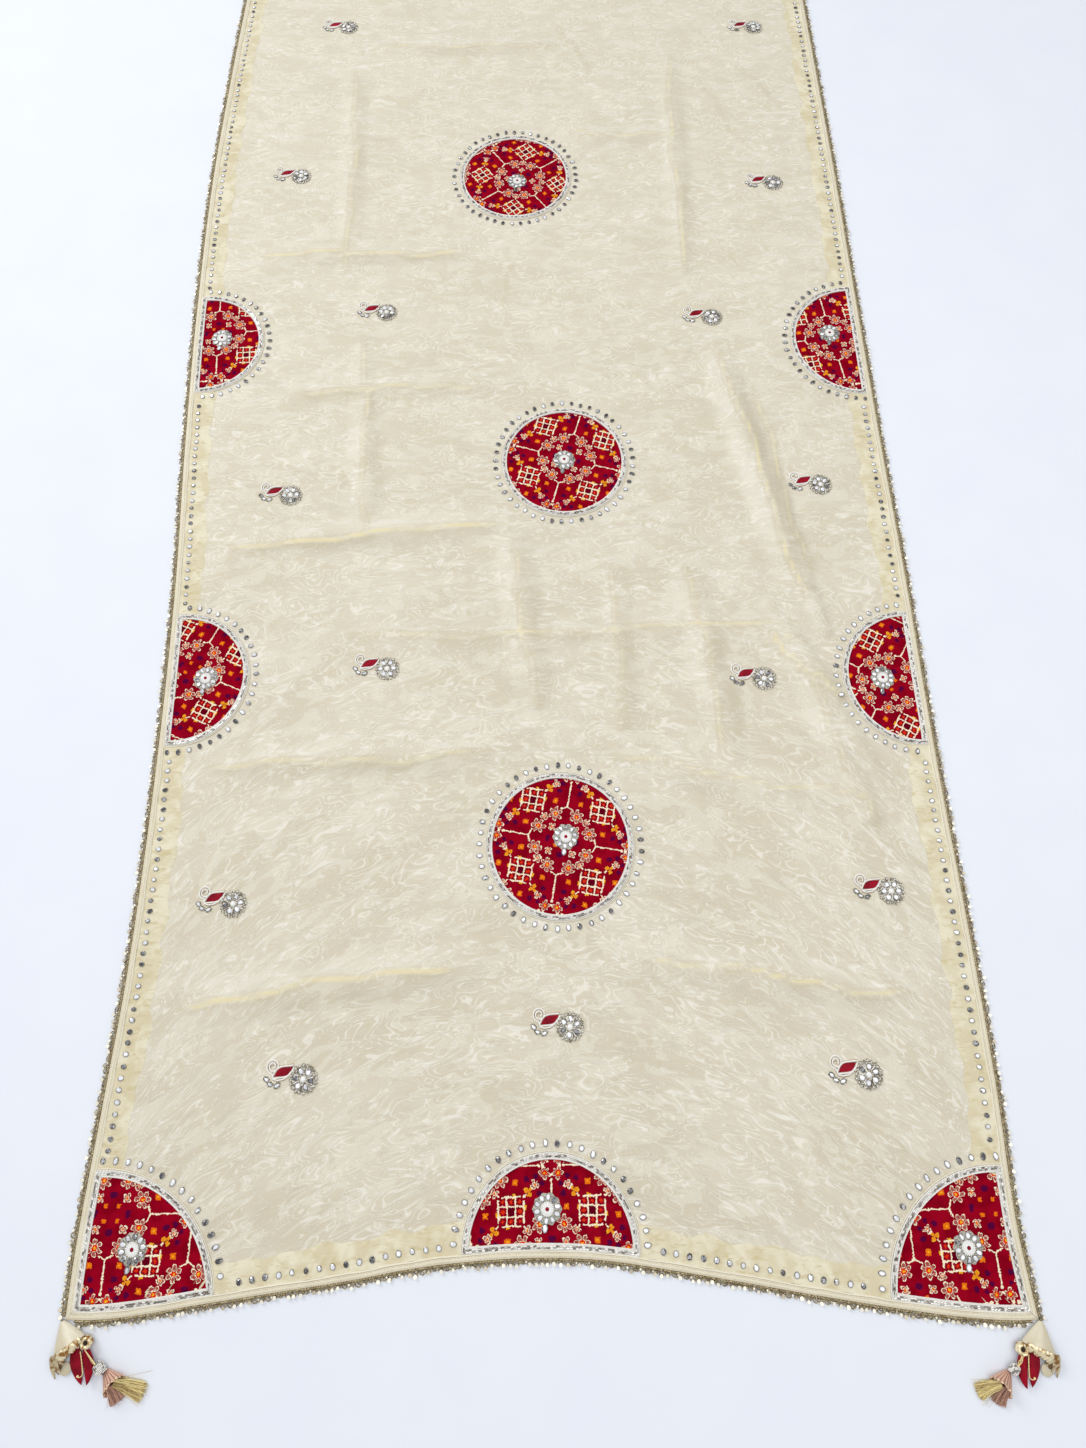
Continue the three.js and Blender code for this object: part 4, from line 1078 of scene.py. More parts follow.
ground = patola.mix(blotches * 0.9, red, plum)
ground = patola.mix(lattice_heart * 0.85, ground, maroon)
ground = patola.mix(side_hearts * 0.85, ground, dye(224, 52, 16))
ground = patola.mix(orange_dots, ground, orange)
ground = patola.mix(orange_hearts, ground, yellow)
ground = patola.mix(yellow_flowers, ground, yellow)
ground = patola.mix(yellow_insides * 0.6, ground, orange)
cream_marks = lattice.at_least(flowers).at_least(blossoms).at_least(crosses).at_least(end_crosses)
cream_marks = cream_marks.at_least(rim_flowers).at_least(stems).at_least(knots).at_least(tails)
insides = flower_insides.at_least(blossom_insides).at_least(cross_insides).at_least(end_insides)
insides = insides.at_least(rim_insides)
dye_bleed = patola.noise(chart, 0.9, detail=1.0)
cream_here = patola.mix(dye_bleed.rises(0.54, 0.74) * 0.4, cream, dye(226, 184, 140))
ground = patola.mix(cream_marks, ground, cream_here)
ground = patola.mix(insides * dye_bleed.rises(0.24, 0.40) * 0.92, ground, blush)
ground = patola.mix(seeds, ground, dye(216, 40, 10))
ground = patola.mix(seed_dots, ground, yellow)
ground = patola.mix(small_hearts * 0.9, ground, orange)
patola.wear(base_color=ground)
patola.bumps(threads * 0.5 + cream_marks * 0.25, 0.00025, 0.5)

medallion_faces = net(*PRINT_NET)
for name, cx, cy, radius, _, _, gx, gy, degrees in MEDALLIONS:
    turns = np.linspace(0.0, 2 * math.pi, PRINT_NET[1])[None, :]
    reach = np.linspace(0.0, radius, PRINT_NET[0])[:, None]
    x, y = hold_in(cx + reach * np.cos(turns), cy + reach * np.sin(turns), TAPE_FROM_EDGE + RIM)
    soft_edge = smooth_rise(reach / radius, 0.9, 1.0) + 0 * turns
    z = lie(x, y) + 0.0012 - 0.0004 * soft_edge + 0.00012 * np.sin(x * 210 + y * 90)
    down_x, down_y = x[:-1, :-1] - x[1:, 1:], y[:-1, :-1] - y[1:, 1:]
    up_x, up_y = x[:-1, 1:] - x[1:, :-1], y[:-1, 1:] - y[1:, :-1]
    area = np.abs(down_x * up_y - up_x * down_y).ravel()
    turned_by = math.radians(degrees)
    gu = ((x - gx) * math.cos(turned_by) + (y - gy) * math.sin(turned_by)) * 1000
    gv = ((y - gy) * math.cos(turned_by) - (x - gx) * math.sin(turned_by)) * 1000
    chart_at = np.stack([gu, gv, 0 * gu], axis=-1).reshape(-1, 3)
    faces = medallion_faces[area > 1e-9]
    points = np.stack([x, y, z], axis=-1)
    print_disc = make_piece(name + "_print", points, faces, patola, values={"chart": chart_at})
    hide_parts(name)
    flat_area = float(area[area > 1e-9].sum() / 2)
    width, height = float(x.max() - x.min()), float(y.max() - y.min())
    flat_area = min(flat_area, width * height)

# ---- Beaded rims ----
# A white tape covers each medallion's raw edge. On it lie two lines of short silver bugle beads between
# white threads, and a thin cream cord runs round its outside.
BUGLE = {"length": 0.0033, "radius": 0.00080, "gap": 0.0005}


def outline(medallion, grow, pitch):
    """Evenly spaced places round a medallion, outside its print by grow, with the direction of the line."""
    cx, cy, radius = medallion[1:4]
    turns = np.linspace(0.0, 2 * math.pi, 3001)
    x, y = cx + (radius + grow) * np.cos(turns), cy + (radius + grow) * np.sin(turns)
    x, y = hold_in(x, y, TAPE_FROM_EDGE + RIM - grow)
    run = np.concatenate([[0.0], np.cumsum(np.hypot(np.diff(x), np.diff(y)))])
    count = int(run[-1] / pitch)
    stops = np.arange(count) * run[-1] / count
    px, py = np.interp(stops, run, x), np.interp(stops, run, y)
    dx = np.roll(px, -1) - np.roll(px, 1)
    dy = np.roll(py, -1) - np.roll(py, 1)
    return px, py, np.arctan2(dy, dx)


tape = flecked(
    "silver_tape", 0.5, 0.0, (1300.0, 2.0), (0.42, 0.6), (192, 185, 173), (243, 240, 232), (0.0004, 1.0)
)
cord_thread = flecked(
    "cream_cord", 0.6, 0.0, (1500.0, 1.0), (0.35, 0.65), (216, 204, 174), (244, 239, 223), (0.0003, 1.0)
)
white_thread = flecked(
    "white_thread", 0.5, 0.0, (1700.0, 1.0), (0.35, 0.65), (228, 224, 214), (255, 253, 248), (0.0003, 1.0)
)

silvered = Finish("silver_lined_bugle", roughness=0.2, metallic=0.15)
# painted glints: each bead's faces are painted from grey brown to near white by their kept value
glint = silvered.drawn("glint")
silvered.wear(base_color=silvered.mix(glint.rises(0.05, 0.85), dye(112, 100, 88), dye(250, 247, 240)))

# the tape's section: outside the print's edge, height
TAPE_SECTION = [
    (-0.0006, 0.0008),
    (0.0004, 0.0018),
    (0.0038, 0.0018),
    (0.0066, 0.0016),
    (RIM, 0.0003),
]
TAPE_STEPS = 240

rim_tape, bugles, rim_cords, rim_threads = Pile(), Pile(), Pile(), Pile()
for medallion in MEDALLIONS:
    cx, cy, radius = medallion[1:4]
    turns = around(TAPE_STEPS)
    rings = []
    for grow, height in TAPE_SECTION:
        reach = radius + grow
        x, y = cx + reach * np.cos(turns), cy + reach * np.sin(turns)
        x, y = hold_in(x, y, TAPE_FROM_EDGE + RIM - grow)
        rings.append(np.stack([x, y, lie(x, y) + height], axis=-1))
    rim_tape.put(np.concatenate(rings), wrapped(len(TAPE_SECTION), TAPE_STEPS)[:, ::-1])
    for grow in (0.0030, 0.0050):
        px, py, heading = outline(medallion, grow, BUGLE["length"] + BUGLE["gap"])
        for x, y, turn in zip(px, py, heading):
            lean = turn + random.choice((-0.4, -0.15, 0.1, 0.3, 1.0)) * 0.5
            half_x, half_y = math.cos(lean) * BUGLE["length"] / 2, math.sin(lean) * BUGLE["length"] / 2
            z = float(lie(x, y)) + 0.0022
            ends = np.array([[x - half_x, y - half_y, z], [x + half_x, y + half_y, z + 0.0001]])
            # painted glint for each bead, varied round it
            shine = random.choice((0.1, 0.35, 0.6, 0.8, 1.0))
            points, faces = tube(ends, BUGLE["radius"], 5)
            shines = [min(1.0, max(0.0, shine + random.uniform(-0.3, 0.3))) for _ in faces]
            bugles.put(points, faces, shines)
    for pile, grow, radius, height in (
        (rim_threads, 0.0004, 0.00070, 0.0018),
        (rim_threads, 0.0016, 0.00055, 0.0019),
        (rim_threads, 0.0066, 0.00060, 0.0017),
        (rim_cords, RIM + 0.0008, 0.00085, 0.0007),
    ):
        px, py, _ = outline(medallion, grow, 0.004)
        pile.put(*tube(np.stack([px, py, lie(px, py) + height], axis=-1), radius, 6, closed=True))
rim_tape.make("rim_tape", tape, "mirror_work", smooth=True)
bugles.make("rim_bugle_beads", silvered, "mirror_work")
rim_cords.make("rim_cord", cord_thread, "tissue", smooth=True)
rim_threads.make("rim_thread", white_thread, "tissue", smooth=True)

# ---- Rings of mirrors ----
# Oval cut mirrors stand round each medallion like rays, their long way pointing outward. Their painted
# reflections are mostly bright near the pallu and mostly dull further along.
NEAR_TONES = (0.16, 0.5, 0.85, 0.95, 1.0, 1.0)
FAR_TONES = (0.06, 0.12, 0.2, 0.3, 0.5, 0.95)
ring_stones, ring_cups = Pile(), Pile()
for _, cx, cy, radius, *_ in MEDALLIONS:
    ring = radius + RING_GAP
    count = round(2 * math.pi * ring / RING_PITCH)
    for k in range(count):
        turn = 2 * math.pi * (k + 0.3) / count
        x, y = cx + ring * math.cos(turn), cy + ring * math.sin(turn)
        x, y = x + random.uniform(-0.0007, 0.0007), y + random.uniform(-0.0007, 0.0007)
        room = min(x - left_edge(y), right_edge(y) - x, y - pallu_edge(x))
        if room < 0.0125:
            continue
        long_half = random.choice((0.0040, 0.0044, 0.0048))
        base = float(lie(x, y)) + (0.0009 if room < 0.042 else 0.0003)
        lean = turn + random.uniform(-0.2, 0.2)
        half_wide = random.uniform(0.0030, 0.0034)
        tones = FAR_TONES if y > random.uniform(0.9, 1.5) else NEAR_TONES
        stone(ring_stones, ring_cups, x, y, base, long_half, half_wide, lean, tones=tones)
ring_stones.make("medallion_ring_mirrors", mirror, "mirror_work")
ring_cups.make("medallion_ring_cups", silver, "mirror_work")

# ---- Mirror flowers ----
# In the middle of each medallion sits a flower of ten small mirrors on silver gauze, round a white
# beaded disc with a red eye. A tear-shaped mirror hangs under it.
FLOWER = {"gauze": 0.0172, "petals": 10, "petal_ring": 0.0126, "disc": 0.0082, "eye": 0.0026}
FLOWER_MIRROR = (0.0041, 0.0031)
# rings of seed beads on the disc: radius, number
BEAD_RINGS = ((0.0073, 19), (0.0055, 14), (0.0038, 9))
# the tear-shaped mirror's place from the flower's middle
DROP = (-0.003, -0.0205)
BRIGHT_PETALS = (0.3, 0.6, 0.8, 0.9, 0.95, 1.0)
gauze = flecked(
    "silver_gauze", 0.45, 0.5, (1100.0, 3.0), (0.4, 0.6), (120, 114, 98), (224, 220, 206), (0.0008, 1.0)
)

pearl = Finish("white_seed_beads", roughness=0.3, metallic=0.0)
milky = pearl.noise(pearl.where(), 800.0, detail=1.0)
pearl.wear(base_color=pearl.mix(milky, dye(226, 224, 218), dye(252, 251, 248)))
pearl.bumps(milky, 0.0001, 0.5)

red_silk = Finish("crimson_silk", roughness=0.5, metallic=0.0)
red_silk.wear(sheen_weight=0.0, specular_ior_level=0.12)
place = red_silk.where()
grain = red_silk.noise(red_silk.stretch(place, (1500.0, 500.0, 700.0)), 1.0, detail=2.0)
shade = red_silk.noise(place, 90.0, detail=2.0)
ground = red_silk.mix(shade.rises(0.3, 0.7), dye(124, 3, 26), dye(164, 6, 36))
red_silk.wear(base_color=red_silk.mix(grain * 0.35, ground, dye(104, 0, 20)))
red_silk.bumps(grain, 0.0002, 0.7)


def dome(x, y, base, radius_x, radius_y, tall, turn=0.0, sides=12, rows=4, ripple=0.0, lobes=1):
    """Points and faces of a low rounded mound, with a rippled rim if lobes are given."""
    turns = around(sides)
    points, faces = [], []
    for r in range(rows):
        share = 1 - r / rows
        wave = 1 + ripple * np.cos(lobes * turns) * share
        u, v = radius_x * share * wave * np.cos(turns), radius_y * share * wave * np.sin(turns)
        dx, dy = u * math.cos(turn) - v * math.sin(turn), u * math.sin(turn) + v * math.cos(turn)
        points.append(np.stack([x + dx, y + dy, base + tall * math.sqrt(1 - share**2) + 0 * dx], axis=-1))
    points.append(np.array([[x, y, base + tall]]))
    for r in range(rows - 1):
        for k in range(sides):
            a, b = r * sides + k, r * sides + (k + 1) % sides
            faces += [[a, b, b + sides], [a, b + sides, a + sides]]
    last = (rows - 1) * sides
    faces += [[last + k, last + (k + 1) % sides, rows * sides] for k in range(sides)]
    return np.concatenate(points), np.array(faces)


flower_stones, flower_cups, flower_gauze, flower_beads, flower_eyes = Pile(), Pile(), Pile(), Pile(), Pile()
for medallion in MEDALLIONS:
    fx, fy = medallion[4:6]
    base = float(lie(fx, fy)) + 0.0012
    wide = FLOWER["gauze"]
    flower_gauze.put(*dome(fx, fy, base, wide, wide, 0.0014, sides=40, ripple=0.06, lobes=10))
    for k in range(FLOWER["petals"]):
        turn = 2 * math.pi * k / FLOWER["petals"] + 0.2
        x, y = fx + FLOWER["petal_ring"] * math.cos(turn), fy + FLOWER["petal_ring"] * math.sin(turn)
        high = base + 0.0010
        stone(flower_stones, flower_cups, x, y, high, *FLOWER_MIRROR, turn, tall=0.0012, tones=BRIGHT_PETALS)
    flower_beads.put(*dome(fx, fy, base + 0.001, FLOWER["disc"], FLOWER["disc"], 0.0014, sides=24))
    for ring, count in BEAD_RINGS:
        for k in range(count):
            turn = 2 * math.pi * k / count
            spot = (fx + ring * math.cos(turn), fy + ring * math.sin(turn), base + 0.0018)
            flower_beads.put(*dome(*spot, 0.00105, 0.00105, 0.0011, sides=6, rows=2))
    flower_eyes.put(*dome(fx, fy, base + 0.0022, FLOWER["eye"], FLOWER["eye"], 0.0006, sides=14))
    drop_x, drop_y = fx + DROP[0], fy + DROP[1]
    stone(flower_stones, flower_cups, drop_x, drop_y, base + 0.0004, 0.0050, 0.0034, 1.35, tall=0.0018)
flower_stones.make("medallion_flower_mirrors", mirror, "mirror_work")
flower_cups.make("medallion_flower_cups", silver, "mirror_work")
flower_gauze.make("medallion_flower_gauze", gauze, "mirror_work", smooth=True)
flower_beads.make("medallion_flower_beads", pearl, "mirror_work", smooth=True)
flower_eyes.make("medallion_flower_eyes", red_silk, "red_silk", smooth=True)

# ---- Small motifs ----
# Each is a flower of six mirrors round a pearl on gold netting, a crimson silk leaf edged with cord, and a
# cord that curls from under the leaf, with three mirror buds below it. They are sewn flat to the cloth.
# name, flower's place across, along
MOTIFS = [
    ("motif_left_1", -0.306, 0.258),
    ("motif_left_2", -0.414, 0.473),
    ("motif_left_3", -0.223, 0.802),
    ("motif_left_4", -0.385, 1.094),
    ("motif_left_5", -0.249, 1.448),
    ("motif_left_6", -0.416, 1.759),
    ("motif_left_7", -0.351, 2.147),
    ("motif_right_1", 0.399, 0.249),
    ("motif_right_2", 0.461, 0.472),
    ("motif_right_3", 0.323, 0.776),
    ("motif_right_4", 0.445, 1.097),
    ("motif_right_5", 0.302, 1.427),
    ("motif_right_6", 0.438, 1.727),
    ("motif_right_7", 0.443, 2.132),
    ("motif_middle", 0.028, 0.312),
]
LEAF = {"base": (-0.0372, 0.0034), "tip": (-0.0140, 0.0148), "half": 0.0052, "bend": 0.0009, "steps": 20}
CURL = {"x": -0.0388, "y": 0.0156, "outer": 0.0084, "inner": 0.0018, "turns": 1.9}
STEM = [
    (-0.0394, 0.0050),
    (-0.0376, 0.0006),
    (-0.0325, -0.0008),
    (-0.0250, 0.0004),
    (-0.0195, 0.0040),
    (-0.0158, 0.0090),
]
# mirror buds: across, along, half length, half width, turn
BUDS = [
    (-0.0462, 0.0006, 0.0038, 0.0024, -0.7),
    (-0.0412, -0.0052, 0.0036, 0.0023, -0.3),
    (-0.0326, -0.0068, 0.0040, 0.0024, 0.5),
]
# the motif's flower: the netting and the pearl, then the place and number of its loops, mirrors and beads
BLOOM = {"net": 0.0145, "pearl": 0.0038}
BLOOM_LOOPS = {"ring": 0.0156, "count": 20}
BLOOM_MIRRORS = {"ring": 0.0096, "count": 6, "long_half": 0.0042, "short_half": 0.0035}
BLOOM_BEADS = {"ring": 0.0046, "count": 10}
BRIGHT = (0.25, 0.7, 0.85, 1.0, 1.0, 1.0)

gold_net = flecked(
    "gold_netting", 0.42, 0.3, (620.0, 2.0), (0.44, 0.58), (124, 110, 84), (243, 239, 224), (0.0008, 1.0)
)

# painted shadow: a dark tan thread laid a little below each cord stands in for the cord's shadow
cord_shadow = Finish("cord_shadow_line", base_color=dye(176, 150, 110), roughness=0.7)

leaf_pile, motif_cords, motif_cord_shadows, motif_net = Pile(), Pile(), Pile(), Pile()
motif_stones, motif_cups, motif_beads, motif_pearls = Pile(), Pile(), Pile(), Pile()


def leaf_edge(side, grow):
    """One side of the leaf from base to tip, outside the silk by grow. It bends a little like an S."""
    (bx, by), (tx, ty) = LEAF["base"], LEAF["tip"]
    t = np.linspace(0.0, 1.0, LEAF["steps"])
    length = math.hypot(tx - bx, ty - by)
    ex, ey = (tx - bx) / length, (ty - by) / length
    out = side * (LEAF["half"] * np.sin(math.pi * t) + grow) + LEAF["bend"] * np.sin(2 * math.pi * t)
    reach = -grow + (length + 2 * grow) * t
    return bx + ex * reach - ey * out, by + ey * reach + ex * out


def couch(pile, x, y, radius, height):
    """A cord laid on the cloth."""
    pile.put(*tube(np.stack([x, y, lie(x, y) + height], axis=-1), radius, 6))


def sew_leaf(mx, my):
    """The silk leaf, slightly raised along its middle, with its cord and a painted shadow line outside it, a
    dark thread a little below the cord.
    """
    left_x, left_y = leaf_edge(1, 0.0)
    right_x, right_y = leaf_edge(-1, 0.0)
    strip_x = np.stack([left_x, (left_x + right_x) / 2, right_x], axis=-1) + mx
    strip_y = np.stack([left_y, (left_y + right_y) / 2, right_y], axis=-1) + my
    crown = np.array([0.0004, 0.0011, 0.0004])[None, :]
    strip_z = lie(strip_x, strip_y) + crown
    leaf_pile.put(np.stack([strip_x, strip_y, strip_z], axis=-1), net(LEAF["steps"], 3)[:, ::-1])
    for side in (1, -1):
        x, y = leaf_edge(side, 0.0013)
        couch(motif_cords, x + mx, y + my, 0.0010, 0.0008)
        # painted shadow: a dark thread just outside the cord and a little below it
        x, y = leaf_edge(side, 0.0025)
        couch(motif_cord_shadows, x + mx, y + my - 0.0003, 0.00042, 0.0003)


def sew_curl(mx, my):
    """The cord that curls from under the leaf, and a painted shadow line beside it, a dark thread a little
    below the cord.
    """
    share = np.linspace(0.0, 1.0, 46)
    turns = -2 * math.pi * CURL["turns"] * share[::-1] + math.radians(263)
    radius = CURL["inner"] + (CURL["outer"] - CURL["inner"]) * share**0.8
    # the cord, then its painted shadow: a dark thread just inside the curl and a little below it
    for pile, inward, thick, height in (
        (motif_cords, 0.0, 0.0010, 0.0008),
        (motif_cord_shadows, 0.0014, 0.00045, 0.0003),
    ):
        curl_x = CURL["x"] + (radius - inward) * np.cos(turns)
        curl_y = CURL["y"] + (radius - inward) * np.sin(turns) * 1.04
        x = np.concatenate([curl_x, [p[0] for p in STEM]]) + mx
        y = np.concatenate([curl_y, [p[1] for p in STEM]]) + my - inward
        couch(pile, x, y, thick, height)


def sew_bloom(mx, my):
    """The motif's flower: netting with loops and beads along its rim, mirrors with beads between them."""
    base = float(lie(mx, my)) + 0.0003
    motif_net.put(*dome(mx, my, base, BLOOM["net"], BLOOM["net"], 0.0012, sides=36, ripple=0.04, lobes=12))
    first = random.uniform(0, 6)
    for k in range(BLOOM_LOOPS["count"]):
        turn = first + 2 * math.pi * k / BLOOM_LOOPS["count"]
        ring = BLOOM_LOOPS["ring"] + 0.0007 * (k % 2)
        x, y = mx + ring * math.cos(turn), my + ring * math.sin(turn)
        scallop = around(8)
        loop_x, loop_y = x + 0.0019 * np.cos(scallop), y + 0.0019 * np.sin(scallop)
        loop = np.stack([loop_x, loop_y, lie(loop_x, loop_y) + 0.0010], axis=-1)
        motif_net.put(*tube(loop, 0.00050, 4, closed=True))
        # painted glint on each rim bead
        shine = random.choice((0.3, 0.7, 1.0, 1.0))
        bead_base = float(lie(x, y)) + 0.0008
        motif_beads.put(*dome(x, y, bead_base, 0.0011, 0.0011, 0.0011, sides=6, rows=2), shine)
    ring, count = BLOOM_MIRRORS["ring"], BLOOM_MIRRORS["count"]
    size = (BLOOM_MIRRORS["long_half"], BLOOM_MIRRORS["short_half"])
    for k in range(count):
        turn = first + 2 * math.pi * k / count
        x, y = mx + ring * math.cos(turn), my + ring * math.sin(turn)
        stone(motif_stones, motif_cups, x, y, base + 0.0010, *size, turn, tall=0.0016, tones=BRIGHT)
        for lean in (0.34, 0.52, 0.70):
            ray = turn + lean
            ray_x, ray_y = math.cos(ray), math.sin(ray)
            ends = [[mx + reach * ray_x, my + reach * ray_y, base + 0.0015] for reach in (0.0078, 0.0130)]
            # painted glint on each bugle ray
            motif_beads.put(*tube(ends, 0.00055, 5), random.choice((0.05, 0.4, 0.8, 1.0)))
    ring = BLOOM_BEADS["ring"]
    for turn in around(BLOOM_BEADS["count"]):
        spot = (mx + ring * math.cos(turn), my + ring * math.sin(turn), base + 0.0014)
        motif_net.put(*dome(*spot, 0.0010, 0.0010, 0.0010, sides=6, rows=2))
    motif_pearls.put(*dome(mx, my, base + 0.0014, BLOOM["pearl"], BLOOM["pearl"], 0.0020, sides=14))


def sew_buds(mx, my):
    """The loose mirror buds, each in a loop of gold thread."""
    for bud_x, bud_y, long_half, short_half, turn in BUDS:
        x, y = mx + bud_x, my + bud_y
        base = float(lie(x, y)) + 0.0002
        stone(motif_stones, motif_cups, x, y, base, long_half, short_half, turn, tall=0.0015, tones=BRIGHT)
        turns = around(14)
        u, v = (long_half + 0.0007) * np.cos(turns), (short_half + 0.0007) * np.sin(turns)
        loop_x = x + u * math.cos(turn) - v * math.sin(turn)
        loop_y = y + u * math.sin(turn) + v * math.cos(turn)
        loop = np.stack([loop_x, loop_y, lie(loop_x, loop_y) + 0.0005], axis=-1)
        motif_net.put(*tube(loop, 0.0005, 4, closed=True))


for _, mx, my in MOTIFS:
    sew_leaf(mx, my)
    sew_curl(mx, my)
    sew_bloom(mx, my)
    sew_buds(mx, my)
leaf_piece = leaf_pile.make("motif_leaves", red_silk, "red_silk", smooth=True)
motif_cords.make("motif_cords", white_thread, "tissue", smooth=True)
motif_pearls.make("motif_pearls", pearl, "mirror_work", smooth=True)
motif_cord_shadows.make("motif_cord_shadows", cord_shadow, "tissue", smooth=True)
motif_beads.make("motif_beads", silvered, "mirror_work", smooth=True)
motif_net.make("motif_gold_netting", gold_net, "mirror_work", smooth=True)
motif_piece = motif_stones.make("motif_mirrors", mirror, "mirror_work")
motif_cups.make("motif_cups", silver, "mirror_work")
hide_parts(*[motif[0] for motif in MOTIFS])

# ---- Tassels ----
# A satin cone trimmed with gilt petals hangs from each corner of the pallu. Two stuffed silk petals and a
# beaded ball come out of it, and from the ball a pleated rose bell with rose threads and gold threads.
# Places run inward and outward from the lace's outer corner, in millimetres.
LACE_WIDE = 8.0
CONE_TIP = (4.8, -6.2)
# each part's turn about the cone's tip in degrees, then its shift inward and outward
SWING = {
    "left": {"cone": (0.0, 0.0, 0.0), "petal": (0.0, 0.0, 0.0), "drop": (0.0, 0.0, 0.0)},
    "right": {"cone": (10.0, 0.0, 0.0), "petal": (6.5, -1.4, -1.5), "drop": (0.0, -10.2, -1.0)},
}
GOLD_LENGTH = {"left": 36.5, "right": 28.5}
# the beaded ball: its place and height, half its length, and its size as a share of its full size
BALL = (56.3, 38.7)
BALL_HEIGHT = 7.0
BALL_HALF = 5.9
BALL_SIZE = {"left": 1.0, "right": 0.84}
SEED_BEAD = 0.00098


def hang(side, part, inward, outward, height):
    """A place in a tassel, in millimetres, as a place on the saree in metres."""
    turn, shift_in, shift_out = SWING[side][part]
    cos_turn, sin_turn = math.cos(math.radians(turn)), math.sin(math.radians(turn))
    given = [np.asarray(value, dtype=float) for value in (inward, outward, height)]
    inward, outward, height = np.broadcast_arrays(*given)
    dx, dy = inward - CONE_TIP[0], CONE_TIP[1] - outward
    x = dx * cos_turn + dy * sin_turn + CONE_TIP[0] + shift_in - LACE_WIDE
    y = dy * cos_turn - dx * sin_turn - CONE_TIP[1] - shift_out - LACE_WIDE
    mirror_x = 1.0 if side == "left" else -1.0
    corner = CORNERS[side]
    return np.stack([mirror_x * x / 1000 + corner[0], y / 1000 + corner[1], height / 1000], axis=-1)


def middle_line(points, count):
    """A smooth line through three places."""
    t = np.linspace(0.0, 1.0, count)[:, None]
    first, middle, last = (np.array(p, dtype=float) for p in points)
    pull = 2 * middle - (first + last) / 2
    return first * (1 - t) ** 2 + pull * 2 * t * (1 - t) + last * t**2


cone_satin = Finish("cone_satin", roughness=0.34, metallic=0.0)
cone_satin.wear(sheen_weight=0.25, specular_ior_level=0.5)
place = cone_satin.where()
weave = cone_satin.noise(cone_satin.stretch(place, (1600.0, 700.0, 900.0)), 1.0, detail=1.0)
soft = cone_satin.noise(place, 70.0, detail=2.0)
# painted light and shade: the cone is painted lighter on its lit side and on its folds' crests, darker on its
# far side, and darkest inside
cone_light_and_shade = cone_satin.drawn("glint")
ground = cone_satin.mix(cone_light_and_shade, dye(176, 160, 124), dye(232, 223, 198))
ground = cone_satin.mix(soft.rises(0.4, 0.7) * 0.4, ground, dye(206, 194, 162))
cone_satin.wear(base_color=cone_satin.mix(weave * 0.2, ground, dye(186, 172, 136)))
cone_satin.bumps(weave * 0.4 + soft, 0.0004, 0.7)

gilt_bright = Finish("bright_gilt", roughness=0.2, metallic=0.9)
# the beaten gilt is painted between brown gold and near white: its own hammered tone with painted highlights
beaten_and_highlights = gilt_bright.noise(gilt_bright.where(), 190.0, detail=1.5, distortion=0.5)
lit_and_tone_share = gilt_bright.drawn("glint")
ground = gilt_bright.mix(beaten_and_highlights.rises(0.36, 0.54), dye(168, 118, 54), dye(255, 240, 198))
# painted shade: where the kept value is low, the gilt is painted darker
ground = gilt_bright.mix(lit_and_tone_share, dye(120, 84, 40), ground)
gilt_bright.wear(base_color=ground, roughness=0.2 + beaten_and_highlights * 0.2, metallic=0.6)
gilt_bright.bumps(beaten_and_highlights, 0.0008, 0.8)

# painted shadow: a dark finish for discs that stand in for the shade inside the cup and the cone
painted_shadow = Finish("painted_shadow_disc", base_color=dye(40, 22, 12), roughness=0.8)

rose = Finish("rose_thread", roughness=0.5, metallic=0.0)
rose.wear(sheen_weight=0.2)
floss = rose.noise(rose.stretch(rose.where(), (1500.0, 900.0, 900.0)), 1.0, detail=2.0)
shade = (floss * 0.5 + rose.drawn("glint") * 0.75).rises(0.22, 0.80)
rose.wear(base_color=rose.mix(shade, dye(126, 80, 62), dye(220, 172, 146)))
rose.bumps(floss, 0.0004, 1.0)

gold = Finish("gold_thread", roughness=0.45, metallic=0.0)
gold.wear(sheen_weight=0.2)
floss = gold.noise(gold.stretch(gold.where(), (900.0, 1500.0, 900.0)), 1.0, detail=2.0)
shade = (floss * 0.5 + gold.drawn("glint") * 0.75).rises(0.18, 0.80)
gold.wear(base_color=gold.mix(shade, dye(160, 122, 54), dye(255, 238, 170)))
gold.bumps(floss, 0.0003, 1.0)

CONE = {"apex": np.array(CONE_TIP), "mouth": np.array([19.5, 16.4]), "wide": 19.8, "tall": 8.0}
cone_axis = (CONE["mouth"] - CONE["apex"]) / np.linalg.norm(CONE["mouth"] - CONE["apex"])
cone_level = np.array([cone_axis[1], -cone_axis[0]])
# along the mouth from its outer end (-1) to its inner end (1): reach, half width, droop
GILT_PETALS = [
    (-1.04, 15.0, 2.8, 7.0),
    (-0.98, 25.0, 2.7, 10.0),
    (-0.84, 22.5, 3.1, 12.0),
    (-0.68, 15.0, 3.4, 10.0),
    (-0.50, 12.0, 3.6, 8.0),
    (-0.31, 10.6, 3.7, 5.5),
    (-0.11, 10.0, 3.7, 5.0),
    (0.09, 10.4, 3.7, 5.5),
    (0.29, 9.6, 3.6, 4.5),
    (0.48, 10.0, 3.3, 5.5),
    (0.64, 8.6, 3.0, 5.0),
]
# the curled cup at the mouth's inner end: its place, then the radius and height of each ring
CUP = (37.6, 13.2)
CUP_SECTION = [
    (6.9, 4.0),
    (7.2, 7.5),
    (6.4, 10.6),
    (4.7, 11.8),
    (3.1, 10.6),
    (2.2, 8.0),
]


